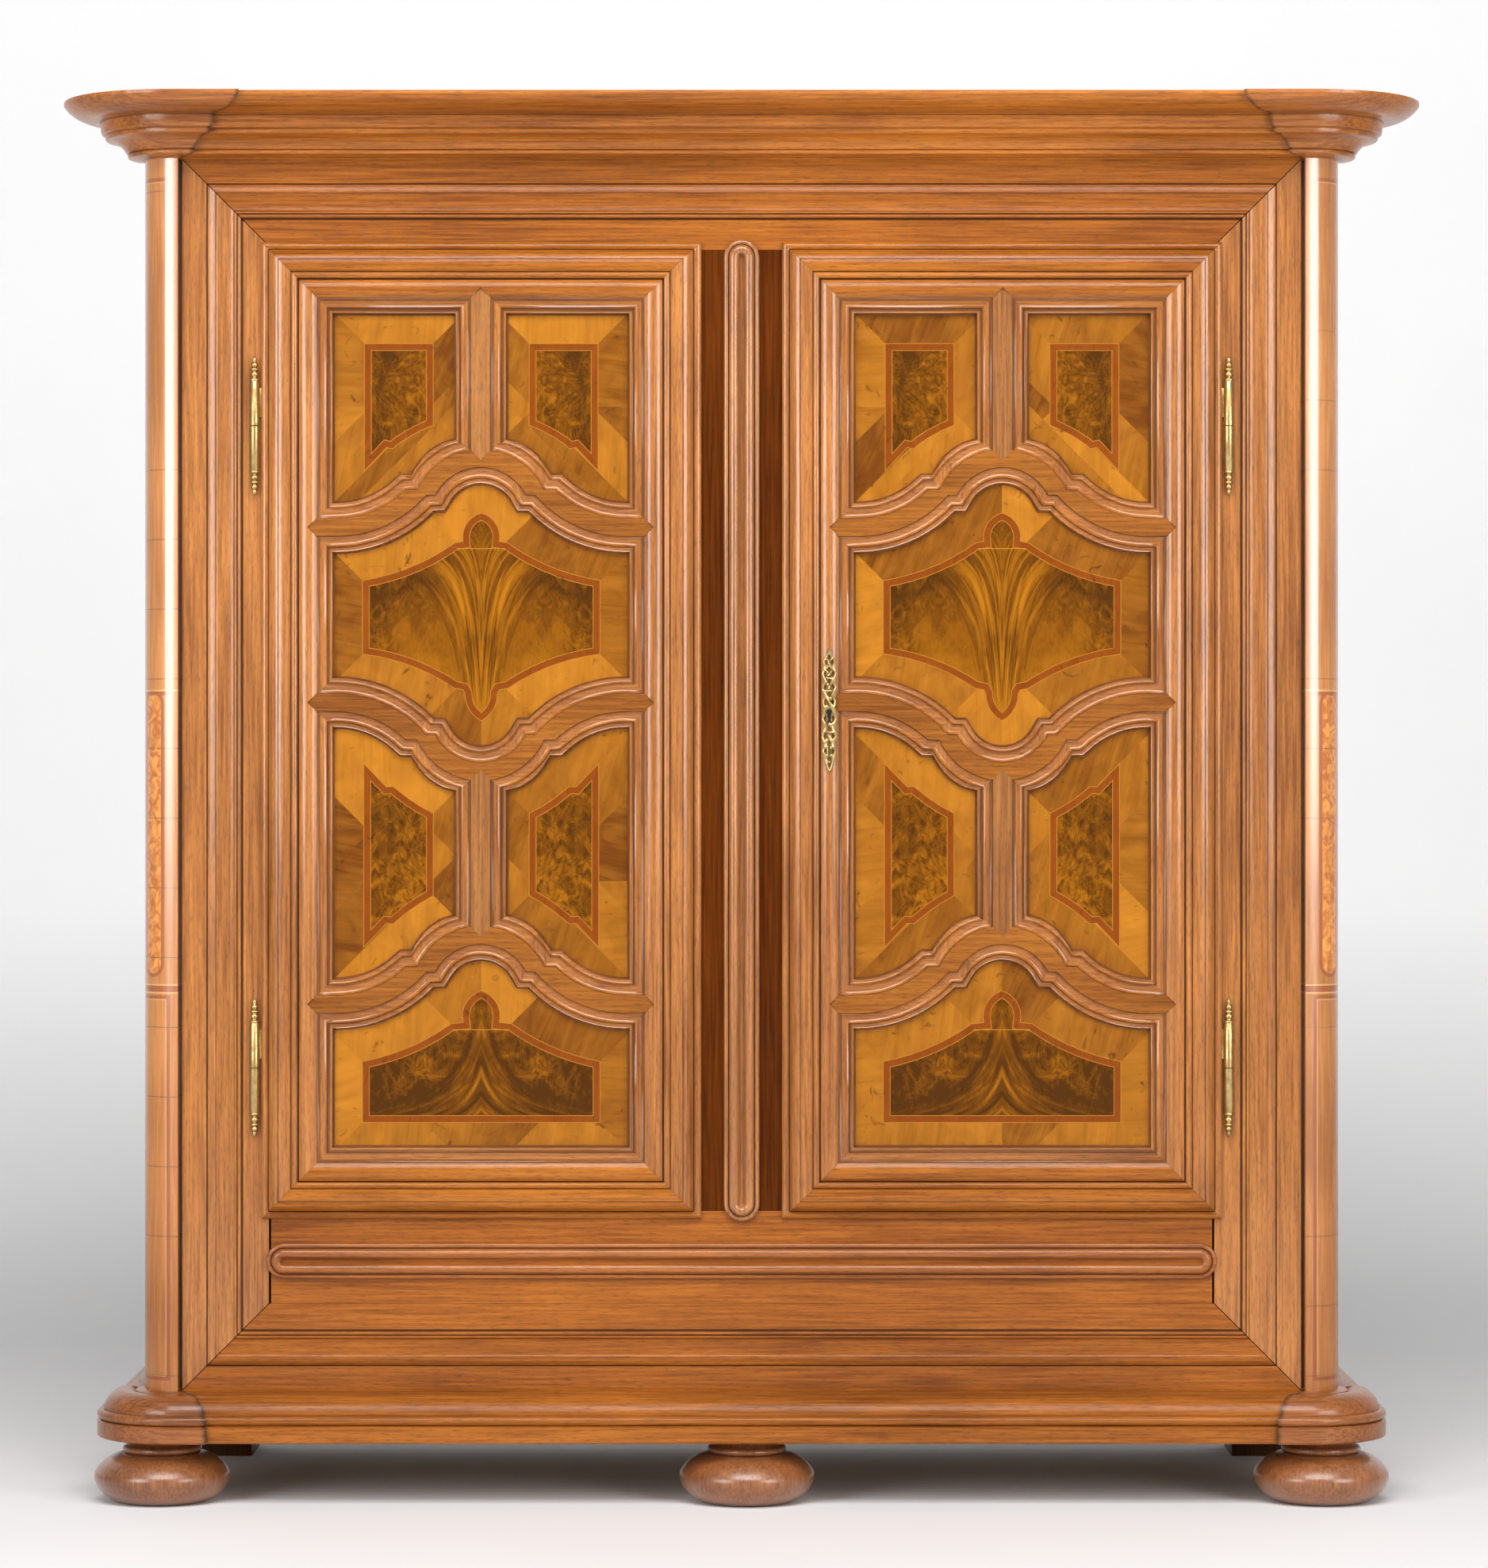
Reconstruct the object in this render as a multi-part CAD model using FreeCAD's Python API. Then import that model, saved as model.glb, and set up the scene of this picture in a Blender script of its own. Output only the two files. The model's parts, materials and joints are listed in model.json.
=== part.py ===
import FreeCAD, Part
import math
import os

V = FreeCAD.Vector

# Two-door wardrobe on bun feet, in millimetres. The front faces -Y and the floor is z = 0.
# The doors set the width and the height of the case round them.

# Door outline: panel field, rails and muntins
field_half = 222.5
lower_rail_rise = 325.0
middle_rail_rise = 455.0
upper_rail_rise = 264.0
upper_panel_rise = 322.0
door_gap = 122.0
rail_half = 38.4
crown_radius = 91.0
crown_height = 13.2
outer_tread = 81.0
inner_tread = 24.0
tread_length = 13.0
shoulder_flat = 4.0
muntin_half = 39.6

# Door frame section, from the lipped edge inwards
lip_overlap = 11.0
door_play = 2.0
lip_gap = 0.5
lip_edge = 7.0
lip_bead = 8.5
lip_bead_rise = 3.0
lip_quirk = 2.5
lip_quirk_depth = 1.5
small_bead = 4.5
small_bead_rise = 3.0
fillet_width = 2.5
fillet_rise = 2.5
ovolo_radius = 20.0
crest_width = 4.5
step_width = 3.5
step_drop = 3.0
ogee_width = 8.0
ogee_rise = 2.0
drop_width = 1.5
drop_depth = 6.5
swell_width = 10.0
swell_rise = 5.0
land_width = 6.0
bead_quirk = 0.5
bead_quirk_depth = 2.5
inner_bead = 10.0
inner_bead_rise = 5.0
inner_land = 3.0
door_body_depth = 28.0

# Panel mouldings, panels and cross members
moulding_width = 25.0
moulding_play = 0.3
moulding_crest = 12.0
moulding_back = 6.0
bar_depth = 36.0
panel_thickness = 10.0

# Front frame section, from the outer edge inwards
frame_thickness = 30.0
frame_flat = 34.0
frame_quirk = 3.0
frame_quirk_depth = 2.5
frame_bead = 15.0
frame_bead_rise = 7.5
frame_torus = 30.0
frame_torus_rise = 6.0
frame_groove = 2.5
frame_groove_depth = 3.0
frame_small_bead = 8.5
frame_small_bead_rise = 4.5
frame_band = 38.0
frame_setback = 15.0
stile_gap = 5.0
bottom_board = 140.0
shoulder_gap = 3.2
frieze_extra = 6.0

# Half-round fluted strips on the post and the bottom rail
strip_half = 27.0
strip_hollow = 4.0
strip_hollow_level = 11.0
strip_reed = 14.0
strip_reed_level = 13.0
strip_reed_rise = 5.0
strip_quirk = 2.0
strip_rim_level = 9.0
strip_rim_rise = 3.5
centre_strip_lap = 15.0
base_strip_rise = 196.0
base_strip_lap = 3.5

# Case
foot_height = 97.0
plinth_height = 71.0
column_radius = 56.0
column_heel = 32.0
column_tongue = 25.0
case_depth = 658.0
side_inset = 10.0
side_thickness = 28.0
side_rail_height = 120.0
side_middle_rail = 90.0
rear_stile_width = 72.0
side_panel_thickness = 14.0
panel_groove = 8.0
panel_bevel = 40.0
panel_bevel_depth = 6.0
seat_play = 0.3
board_thickness = 18.0
board_gap = 0.6
back_board_count = 7
floor_board_count = 4
back_recess = 12.0

# Cornice and plinth
cornice_height = 87.0
cornice_projection = 122.0
cornice_heel = 18.0
cornice_setback = 12.0
cornice_return = 0.8
cornice_turn = 38.0
side_crown = 72.0
plinth_projection = 72.0
plinth_setback = 9.0
plinth_return = 0.6
return_inset = 7.0
plinth_back_depth = 60.0

# Bun feet
foot_radius = 102.5
foot_sole = 58.0
foot_bun_height = 74.0
foot_belly = 18.0
foot_neck = 53.0
rear_foot_size = 120.0
foot_outset = 27.0
centre_foot_shift = 8.0
centre_foot_setback = 23.0
rear_foot_setback = 90.0

# Inside fittings
shelf_drop = 390.0
shelf_front_setback = 103.0
batten_height = 40.0
batten_depth = 22.0
rail_radius = 16.0
rail_drop = 70.0
bracket_thickness = 20.0
bracket_half = 34.0

# Finial pin hinges
knuckle_radius = 6.6
hinge_stand_off = 8.0
hinge_side_gap = 10.0
knuckle_length = 57.5
finial_length = 48.0
hinge_pin_radius = 3.0
pin_clearance = 0.05
knuckle_gap = 0.5
leaf_thickness = 2.0
leaf_height = 44.0
leaf_reach = 25.0
leaf_play = 0.2
upper_hinge_rise = 1198.0
lower_hinge_rise = 228.0

# Lock and bolts
keyhole_rise = 768.0
keyhole_inset = 71.0
keyhole_radius = 4.0
keyhole_slot = 4.0
keyhole_drop = 12.0
lock_inset = 17.0
lock_length = 84.0
lock_height = 96.0
lock_depth = 24.0
lock_wall = 3.0
lock_bolt_height = 18.0
lock_bolt_depth = 8.0
lock_bolt_length = 66.0
lock_bolt_travel = 20.0
keeper_length = 16.0
keeper_margin = 12.0
keeper_play = 1.0
slide_play = 0.3
plate_thickness = 1.4
plate_width = 24.0
plate_length = 187.0
bolt_inset = 38.0
bolt_width = 14.0
bolt_depth = 6.0
bolt_length = 210.0
bolt_inside = 5.0
bolt_lift = 3.0
guide_height = 16.0
guide_wall = 4.0
guide_spread = 46.0
knob_radius = 6.0
knob_length = 16.0

# Levels and planes worked out from the sizes above
door_member = (lip_bead + lip_quirk + small_bead + fillet_width + ovolo_radius + crest_width
               + step_width + ogee_width + drop_width + swell_width + land_width + bead_quirk
               + inner_bead + inner_land)
field_inset = door_member + moulding_width
door_half = field_half + field_inset
door_centre = door_gap / 2 + door_half
door_edge = door_centre + door_half
door_height = (lower_rail_rise + middle_rail_rise + upper_rail_rise + upper_panel_rise
               + field_inset)
stile_width = (frame_flat + frame_quirk + frame_bead + frame_torus + frame_groove
               + frame_small_bead + frame_band)
opening_x = door_edge - lip_overlap
stile_outer = opening_x + stile_width
axis_x = stile_outer + stile_gap
case_bottom = foot_height + plinth_height
opening_bottom = case_bottom + stile_width + bottom_board
door_bottom = opening_bottom - lip_overlap
door_top = door_bottom + door_height
opening_top = door_top - lip_overlap
case_top = opening_top + stile_width + frieze_extra
overall_depth = case_depth + cornice_projection
back_y = overall_depth / 2
front_y = cornice_projection - overall_depth / 2
axis_y = front_y + column_radius
face_y = front_y + frame_setback
frame_back_y = face_y + frame_thickness
side_outer = axis_x + column_radius - side_inset
side_inner = side_outer - side_thickness
heel_y = axis_y + column_heel
rear_stile_y = back_y - rear_stile_width
board_back_y = back_y - back_recess
board_front_y = board_back_y - board_thickness
post_half = door_gap / 2 + lip_overlap
plinth_heel = column_radius + return_inset - seat_play
hinge_x = door_edge + hinge_side_gap
hinge_y = face_y - hinge_stand_off
door_back_y = face_y + door_body_depth
field_bottom = door_bottom + field_inset
field_top = door_top - field_inset
shoulders = [door_bottom + lower_rail_rise]
shoulders.append(shoulders[0] + middle_rail_rise)
shoulders.append(shoulders[1] + upper_rail_rise)


def at(a, b):
    return ((a, b), None)


def arc(am, bm, a, b):
    return ((a, b), (am, bm))


def trace(start, *moves):
    """Outline from a start point and steps: (da, db) is a line, (dam, dbm, da, db) an arc."""
    path = [(start, None)]
    for move in moves:
        a, b = path[-1][0]
        mid = (a + move[0], b + move[1]) if len(move) == 4 else None
        path.append(((a + move[-2], b + move[-1]), mid))
    return path


def bead(width, rise):
    """Small bead worked as three flats."""
    return (width / 4, rise), (width / 2, 0), (width / 4, -rise)


def mapped(path, change):
    return [(change(*p), change(*m) if m else None) for p, m in path]


def shifted(path, dz):
    return mapped(path, lambda x, z: (x, z + dz))


def flipped(path):
    return mapped(path, lambda x, z: (x, -z))


def mirrored_path(path):
    return mapped(path, lambda x, z: (-x, z))


def reverse(path):
    back = [(path[-1][0], None)]
    for (point, _), (_, mid) in zip(path[-2::-1], path[:0:-1]):
        back.append((point, mid))
    return back


def joined(*paths):
    """Paths one after another; a start that repeats the last end is left out."""
    whole = list(paths[0])
    for path in paths[1:]:
        repeats = math.dist(whole[-1][0], path[0][0]) < 1e-6
        whole += path[1:] if repeats else path
    return whole


def wire(path, place):
    edges = []
    for (start, _), (end, mid) in zip(path, path[1:] + path[:1]):
        if mid is None:
            edges.append(Part.LineSegment(place(*start), place(*end)).toShape())
        else:
            edges.append(Part.Arc(place(*start), place(*mid), place(*end)).toShape())
    return Part.Wire(edges)


def extruded(path, place, direction):
    return Part.Face(wire(path, place)).extrude(direction)


def plate(path, y0, y1):
    """Outline in x and z, thick from y0 to y1."""
    return extruded(path, lambda x, z: V(x, y0, z), V(0, y1 - y0, 0))


def plan(points, z0, z1):
    """Outline of straight sides in x and y, tall from z0 to z1."""
    return extruded([at(*p) for p in points], lambda x, y: V(x, y, z0), V(0, 0, z1 - z0))


def box(x0, x1, y0, y1, z0, z1):
    return Part.makeBox(x1 - x0, y1 - y0, z1 - z0, V(x0, y0, z0))


def turned(path, x, y, z=0.0):
    """Outline in radius and height, turned about an upright axis."""
    face = Part.Face(wire(path, lambda r, h: V(x + r, y, z + h)))
    return face.revolve(V(x, y, 0), V(0, 0, 1), 360)


def mirrored(shape):
    return shape.mirror(V(0, 0, 0), V(1, 0, 0))


def fused(*shapes):
    return shapes[0].fuse(list(shapes[1:])).removeSplitter()


def save(name, *shapes):
    solids = [solid for shape in shapes for solid in shape.Solids]
    whole = solids[0] if len(solids) == 1 else Part.makeCompound(solids)
    whole.exportStep(f"parts/{name}.step")


def save_pair(name, *shapes):
    """A right-hand piece and its mirror image on the left."""
    save(f"{name}_right", *shapes)
    save(f"{name}_left", *[mirrored(shape) for shape in shapes])


# Cornice and plinth: runs and projecting rounded corners that share one section
def cornice_section(heel, setback):
    profile = [at(-heel, 0), at(0, 0), at(22, 4), at(26, 7.5), at(24, 11), at(28, 12),
               at(38, 24.5), at(58, 31), at(60, 38), at(66, 42), at(68, 58), at(72, 60),
               at(103, 68.5), at(cornice_projection, cornice_height - 6),
               at(cornice_projection, cornice_height), at(70, cornice_height), at(-heel, 30)]
    return mapped(profile, lambda p, z: (p - setback, z + case_top))


def side_cornice_section(heel):
    """The sides carry a plain board with a smaller crown, set back behind the corner blocks."""
    profile = [at(-heel, 0), at(-9, 0), at(-9, 40), at(14, 56), at(20, 60), at(50, 68),
               at(side_crown, cornice_height - 6), at(side_crown, cornice_height),
               at(30, cornice_height), at(-heel, 48)]
    return mapped(profile, lambda p, z: (p, z + case_top))


def plinth_section(heel, setback):
    profile = [at(-heel, 0), at(plinth_projection, 0), at(plinth_projection, 25), at(66, 27),
               at(70.5, 34.5), at(66, 41), at(62, 42), at(60, 48), at(42, 61), at(14, 66),
               at(6, plinth_height), at(-heel, plinth_height)]
    return mapped(profile, lambda p, z: (p - setback, z + foot_height))


def return_line(slope, reach, heel):
    """Plan of the joint between corner and front run: place across, projection."""
    x = axis_x - return_inset
    return [(x, -heel), (x, 0), (x - slope * reach, reach)]


def corner_block(section, inner_section, slope, reach, heel, z0, z1, turn=0):
    """Quarter round about the column with a short straight arm along the front. It has the same
    arm along the side, unless it curves on past the side by the angle of the turn."""
    radius = mapped(section, lambda p, z: (p + column_radius, z))
    face = Part.Face(wire(radius, lambda r, z: V(axis_x + r, axis_y, z)))
    face.rotate(V(axis_x, axis_y, 0), V(0, 0, 1), turn)
    quarter = face.revolve(V(axis_x, axis_y, 0), V(0, 0, -1), 90 + turn)
    arm_length = return_inset + slope * reach + 1
    front_arm = extruded(inner_section, lambda p, z: V(axis_x, front_y - p, z),
                         V(-arm_length, 0, 0))
    joint = return_line(slope, reach + 1, heel + 1)
    keep = [(x, front_y - p) for x, p in joint]
    keep += [(axis_x + 1, front_y - reach - 1), (axis_x + 1, front_y + heel + 1)]
    front_arm = front_arm.common(plan(keep, z0 - 1, z1 + 1))
    if turn:
        return fused(quarter, front_arm)
    side_arm = front_arm.mirror(V(axis_x, axis_y, 0), V(1, 1, 0))
    return fused(quarter, front_arm, side_arm)


def front_run(section, slope, reach, heel, z0, z1):
    run = extruded(section, lambda p, z: V(-axis_x, front_y - p, z), V(2 * axis_x, 0, 0))
    joint = return_line(slope, reach + 1, heel + 1)
    keep = [(x, front_y - p) for x, p in joint] + [(-x, front_y - p) for x, p in joint[::-1]]
    return run.common(plan(keep, z0 - 1, z1 + 1))


def side_run(section, slope, reach, heel, z0, z1):
    outer = axis_x + column_radius
    run = extruded(section, lambda p, z: V(outer + p, axis_y, z), V(0, back_y - axis_y, 0))
    shift = axis_x + axis_y
    joint = return_line(slope, reach + 1, heel + 1)
    keep = [(outer + p, shift - x) for x, p in joint]
    keep += [(outer + reach + 1, back_y + 1), (outer - heel - 1, back_y + 1)]
    return run.common(plan(keep, z0 - 1, z1 + 1))


def crown_run(section, turn, z0, z1):
    """Side run of the cornice, cut to meet the end of the corner block."""
    outer = axis_x + column_radius
    far = outer + cornice_projection
    run = extruded(section, lambda p, z: V(outer + p, axis_y, z), V(0, back_y - axis_y, 0))
    meet = axis_y + (far - axis_x) * math.tan(math.radians(turn))
    keep = [(axis_x, axis_y), (far, meet), (far, back_y + 1), (axis_x, back_y + 1)]
    return run.common(plan(keep, z0 - 1, z1 + 1))


def build_cornice():
    top = case_top + cornice_height
    heel = cornice_heel
    proud = cornice_section(heel, 0)
    back = cornice_section(heel, cornice_setback)
    deep = heel + cornice_setback
    span = (cornice_return, cornice_projection)
    corner = corner_block(proud, proud, *span, heel, case_top, top, cornice_turn)
    save_pair("cornice_corner", corner)
    save("cornice_front", front_run(back, *span, deep, case_top, top))
    side = crown_run(side_cornice_section(deep), cornice_turn, case_top, top)
    save("cornice_sides", side, mirrored(side))
    inner_x = axis_x + column_radius - deep
    save("cornice_back", box(-inner_x, inner_x, back_y - board_thickness, back_y, case_top, top))
    front = front_y + deep + seat_play
    rear = back_y - board_thickness - seat_play
    width = (rear - front - board_gap * (floor_board_count - 1)) / floor_board_count
    boards = []
    for i in range(floor_board_count):
        y = front + i * (width + board_gap)
        boards.append(box(seat_play - inner_x, inner_x - seat_play, y, y + width,
                          case_top, case_top + board_thickness))
    save("top_boards", *boards)


def build_base(columns):
    heel = plinth_heel
    proud = plinth_section(column_radius, 0)
    arm = plinth_section(heel, 0)
    back = plinth_section(heel - plinth_setback, plinth_setback)
    span = (plinth_return, plinth_projection)
    corner = corner_block(proud, arm, *span, heel, foot_height, case_bottom)
    save_pair("plinth_corner", corner)
    save("plinth_front", front_run(back, *span, heel, foot_height, case_bottom))
    side = side_run(back, *span, heel, foot_height, case_bottom)
    save("plinth_sides", side, mirrored(side))
    inner_x = axis_x + column_radius - heel
    save("plinth_back", box(-inner_x, inner_x, back_y - plinth_back_depth, back_y,
                            foot_height, case_bottom))
    front = frame_back_y + seat_play
    rear = board_front_y - seat_play
    width = (rear - front - board_gap * (floor_board_count - 1)) / floor_board_count
    half = side_inner - seat_play
    boards = []
    for i in range(floor_board_count):
        y = front + i * (width + board_gap)
        board = box(-half, half, y, y + width, case_bottom, case_bottom + board_thickness)
        boards.append(board.cut(columns))
    save("floor_boards", *boards)


def bun_foot(x, y):
    belly = foot_bun_height / 2
    bun = [at(0, 0), at(foot_sole, 0), at(foot_radius, belly - foot_belly / 2),
           at(foot_radius, belly + foot_belly / 2), at(foot_neck, foot_bun_height),
           at(foot_neck, foot_height), at(0, foot_height)]
    return turned(bun, x, y)


def build_feet():
    x = axis_x + foot_outset
    y = axis_y - foot_outset
    save("bun_feet", bun_foot(-x, y), bun_foot(x, y),
         bun_foot(centre_foot_shift, front_y + centre_foot_setback))
    half = rear_foot_size / 2
    rear = back_y - rear_foot_setback
    block = box(axis_x - half, axis_x + half, rear - half, rear + half, 0, foot_height)
    save("rear_feet", block, mirrored(block))


# Sides and back of the case
def column_solid():
    bow = math.sqrt(0.5) * column_radius
    outline = [at(axis_x, front_y),
               arc(axis_x + bow, axis_y - bow, axis_x + column_radius, axis_y),
               at(axis_x + column_radius, heel_y), at(axis_x - column_tongue, heel_y),
               at(axis_x - column_tongue, frame_back_y), at(axis_x, frame_back_y)]
    return extruded(outline, lambda x, y: V(x, y, case_bottom), V(0, 0, case_top - case_bottom))


def side_panel(y0, y1, z0, z1):
    """Raised panel: flat field, sloping margin, thin tongue held in the grooves of the frame."""
    groove = panel_groove - seat_play
    back_x = side_inner + (side_thickness - side_panel_thickness) / 2
    tongue = side_panel_thickness - panel_bevel_depth
    board = box(back_x, back_x + tongue, y0 - groove, y1 + groove, z0 - groove, z1 + groove)
    rectangle = [at(y0, z0), at(y1, z0), at(y1, z1), at(y0, z1)]
    inner = [at(y0 + panel_bevel, z0 + panel_bevel), at(y1 - panel_bevel, z0 + panel_bevel),
             at(y1 - panel_bevel, z1 - panel_bevel), at(y0 + panel_bevel, z1 - panel_bevel)]
    low = wire(rectangle, lambda y, z: V(back_x + tongue, y, z))
    high = wire(inner, lambda y, z: V(back_x + side_panel_thickness, y, z))
    return fused(board, Part.makeLoft([low, high], True, True))


def grooved(member, y0, y1, z0, z1):
    back_x = side_inner + (side_thickness - side_panel_thickness) / 2 - seat_play
    tongue = side_panel_thickness - panel_bevel_depth + 2 * seat_play
    return member.cut(box(back_x, back_x + tongue, y0 - panel_groove, y1 + panel_groove,
                          z0 - panel_groove, z1 + panel_groove))


def build_sides():
    middle = (case_bottom + case_top) / 2
    levels = [(case_bottom, case_bottom + side_rail_height),
              (middle - side_middle_rail / 2, middle + side_middle_rail / 2),
              (case_top - side_rail_height, case_top)]
    fields = [(heel_y, rear_stile_y, low[1], high[0]) for low, high in zip(levels, levels[1:])]
    rails = [box(side_inner, side_outer, heel_y, rear_stile_y, *level) for level in levels]
    stile = box(side_inner, side_outer, rear_stile_y, back_y, case_bottom, case_top)
    column = column_solid()
    for field in fields:
        rails = [grooved(rail, *field) for rail in rails]
        stile = grooved(stile, *field)
        column = grooved(column, *field)
    save_pair("side_rails", *rails)
    save_pair("side_panels", *[side_panel(*field) for field in fields])
    save("rear_stiles", stile, mirrored(stile))
    save_pair("corner_column", column)
    width = (2 * side_inner - board_gap * (back_board_count + 1)) / back_board_count
    boards = []
    for i in range(back_board_count):
        x = -side_inner + board_gap + i * (width + board_gap)
        boards.append(box(x, x + width, board_front_y, board_back_y, case_bottom, case_top))
    save("back_boards", *boards)


# Front frame
def frame_section(width):
    """Moulded face of stile or rail: distance from the outer edge, projection."""
    crest = frame_torus_rise / 2
    return trace((0, 0), (frame_flat, 0), (0, -frame_quirk_depth), (frame_quirk, 0),
                 (0, frame_quirk_depth + 1.5), *bead(frame_bead, frame_bead_rise), (1, 1.5),
                 (frame_torus / 2 - 1, frame_torus_rise, frame_torus - 1, crest - 2),
                 (0, -frame_groove_depth), (frame_groove, 0), (0, 2),
                 *bead(frame_small_bead, frame_small_bead_rise),
                 (0, frame_groove_depth - crest - 3),
                 (width - stile_width + frame_band, 0),
                 (0, -frame_thickness), (-width, 0))


def hinge_splits():
    return [door_bottom + lower_hinge_rise, door_bottom + upper_hinge_rise]


def build_front_frame():
    section = frame_section(stile_width)
    stile = extruded(section, lambda a, p: V(stile_outer - a, face_y - p, case_bottom),
                     V(0, 0, case_top - case_bottom))
    outline = [at(stile_outer, case_bottom), at(stile_outer, case_top),
               at(opening_x, case_top - stile_width), at(opening_x, case_bottom + stile_width)]
    stile = stile.common(plate(outline, face_y - frame_thickness, frame_back_y + 1))
    for split in hinge_splits():
        stile = stile.cut(frame_leaf(hinge_x, split, leaf_play))
    save_pair("front_stile", stile)

    frieze_height = stile_width + frieze_extra
    frieze = extruded(frame_section(frieze_height),
                      lambda a, p: V(-stile_outer, face_y - p, case_top - a),
                      V(2 * stile_outer, 0, 0))
    outline = [at(-stile_outer, case_top), at(stile_outer, case_top),
               at(opening_x, case_top - stile_width), at(opening_x, opening_top),
               at(-opening_x, opening_top), at(-opening_x, case_top - stile_width)]
    save("frieze_rail", frieze.common(plate(outline, face_y - frame_thickness, frame_back_y + 1)))

    bottom = extruded(frame_section(stile_width + bottom_board),
                      lambda a, p: V(-stile_outer, face_y - p, case_bottom + a),
                      V(2 * stile_outer, 0, 0))
    shoulder_x = opening_x - shoulder_gap
    mitre_top = case_bottom + stile_width
    outline = [at(-stile_outer, case_bottom), at(stile_outer, case_bottom),
               at(opening_x, mitre_top), at(shoulder_x, mitre_top),
               at(shoulder_x, opening_bottom), at(-shoulder_x, opening_bottom),
               at(-shoulder_x, mitre_top), at(-opening_x, mitre_top)]
    save("bottom_rail", bottom.common(plate(outline, face_y - frame_thickness, frame_back_y + 1)))

    save("centre_post", box(-post_half, post_half, face_y, frame_back_y,
                            opening_bottom, opening_top))
    save("centre_strip", fluted_strip(opening_bottom - centre_strip_lap,
                                      opening_top + centre_strip_lap))
    base = fluted_strip(-opening_x - base_strip_lap, opening_x + base_strip_lap)
    base.rotate(V(0, face_y, 0), V(0, 1, 0), 90)
    base.translate(V(0, 0, case_bottom + base_strip_rise))
    save("base_strip", base)


def fluted_strip(z0, z1):
    """Two reeds beside a hollow, inside a rim, with half-round ends."""
    rim = strip_half - strip_hollow - strip_reed - strip_quirk
    dip = strip_reed_level - strip_hollow_level
    half = trace((0, strip_hollow_level), (strip_hollow, dip),
                 *bead(strip_reed, strip_reed_rise),
                 (0, strip_rim_level - strip_reed_level), (strip_quirk, 0),
                 *bead(rim, strip_rim_rise), (0, -strip_rim_level))
    whole = joined(reverse(mirrored_path(half)), half)
    bar = extruded(whole, lambda s, p: V(s, face_y - p, z0), V(0, 0, z1 - z0))
    low, high = z0 + strip_half, z1 - strip_half
    rounded = [at(-strip_half, low), arc(0, z0, strip_half, low), at(strip_half, high),
               arc(0, z1, -strip_half, high)]
    return bar.common(plate(rounded, face_y - 2 * strip_half, face_y + 1))


# Doors: serpentine openings at any distance outside the panel edge
def crown_x(radius, level):
    return math.sqrt(radius ** 2 - (level - crown_height) ** 2)


def sweep_radius():
    """Centre line of the rail's shoulder sweep, so that it meets the outer notch."""
    reach = field_half - shoulder_flat - tread_length
    reach -= crown_x(crown_radius + rail_half, outer_tread)
    rise = outer_tread - rail_half
    return (reach ** 2 + rise ** 2) / (2 * rise) + rail_half


def swept(radius, level):
    """Arc of the shoulder from its start up to a level, about the sweep's centre."""
    x = shoulder_flat - field_half
    turn = math.acos((sweep_radius() - level) / radius)
    points = [(x + radius * math.sin(t), sweep_radius() - radius * math.cos(t))
              for t in (turn / 2, turn)]
    return arc(*points[0], *points[1])


def crowned(radius, x_start, x_end):
    """Arc of the crown between two places across."""
    turn = [math.asin(x / radius) for x in (x_start, x_end)]
    middle = sum(turn) / 2
    return arc(radius * math.sin(middle), crown_height + radius * math.cos(middle),
               x_end, crown_height + radius * math.cos(turn[1]))


def outer_edge(d):
    """Rail edge on the outside of the arch, from the door frame to the muntin."""
    level = outer_tread - d
    radius = crown_radius + rail_half - d
    x = -crown_x(radius, level)
    start = rail_half - d
    return [at(-field_half - d, start), at(shoulder_flat - field_half, start),
            swept(sweep_radius() - rail_half + d, level), at(x, level),
            crowned(radius, x, d - muntin_half)]


def inner_edge(d):
    """Rail edge on the inside of the arch, from the door frame to the crown's middle."""
    level = inner_tread + d
    radius = crown_radius - rail_half + d
    x = -crown_x(radius, level)
    start = d - rail_half
    return [at(-field_half - d, start), at(shoulder_flat - field_half, start),
            swept(sweep_radius() + rail_half - d, level), at(x, level), crowned(radius, x, 0)]


def openings(d):
    """The six panel openings of a door, grown by d, about the door's middle line."""
    lower, middle, upper = shoulders
    outside, inside = outer_edge(d), inner_edge(d)
    arch = joined(inside, mirrored_path(reverse(inside)))
    high, low = field_top + d, field_bottom - d
    edge, post = field_half + d, d - muntin_half
    top_left = shifted(outside, upper) + [at(post, high), at(-edge, high)]
    wide = joined(shifted(arch, upper), reverse(shifted(flipped(arch), middle)))
    middle_left = joined(shifted(outside, lower), reverse(shifted(flipped(outside), middle)))
    base = shifted(arch, lower) + [at(edge, low), at(-edge, low)]
    return [top_left, mirrored_path(top_left), wide, middle_left, mirrored_path(middle_left), base]


def door_section():
    """Lipped and moulded frame member: distance from the door's edge, projection."""
    r = ovolo_radius
    bow = r * math.sqrt(0.5)
    body = lip_overlap + door_play
    face = trace((0, lip_gap), (0, lip_edge), *bead(lip_bead, lip_bead_rise),
                 (0, -lip_quirk_depth), (lip_quirk, 0), (0, lip_quirk_depth),
                 *bead(small_bead, small_bead_rise), (fillet_width, fillet_rise),
                 (r - bow, bow, r, r), (crest_width, 0), (0, -step_drop), (step_width, 0),
                 *bead(ogee_width, ogee_rise), (drop_width, -drop_depth),
                 (0.4 * swell_width, 0.8 * swell_rise), (0.6 * swell_width, 0.2 * swell_rise),
                 (land_width, 0), (bead_quirk, -bead_quirk_depth),
                 *bead(inner_bead, inner_bead_rise), (inner_land, 0))
    return face + [at(door_member, -door_body_depth), at(body, -door_body_depth),
                   at(body, lip_gap)]


def land_level():
    """Projection of the flat rails and muntins, level with the frame's inner land."""
    return door_section()[-4][0][1]


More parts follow.
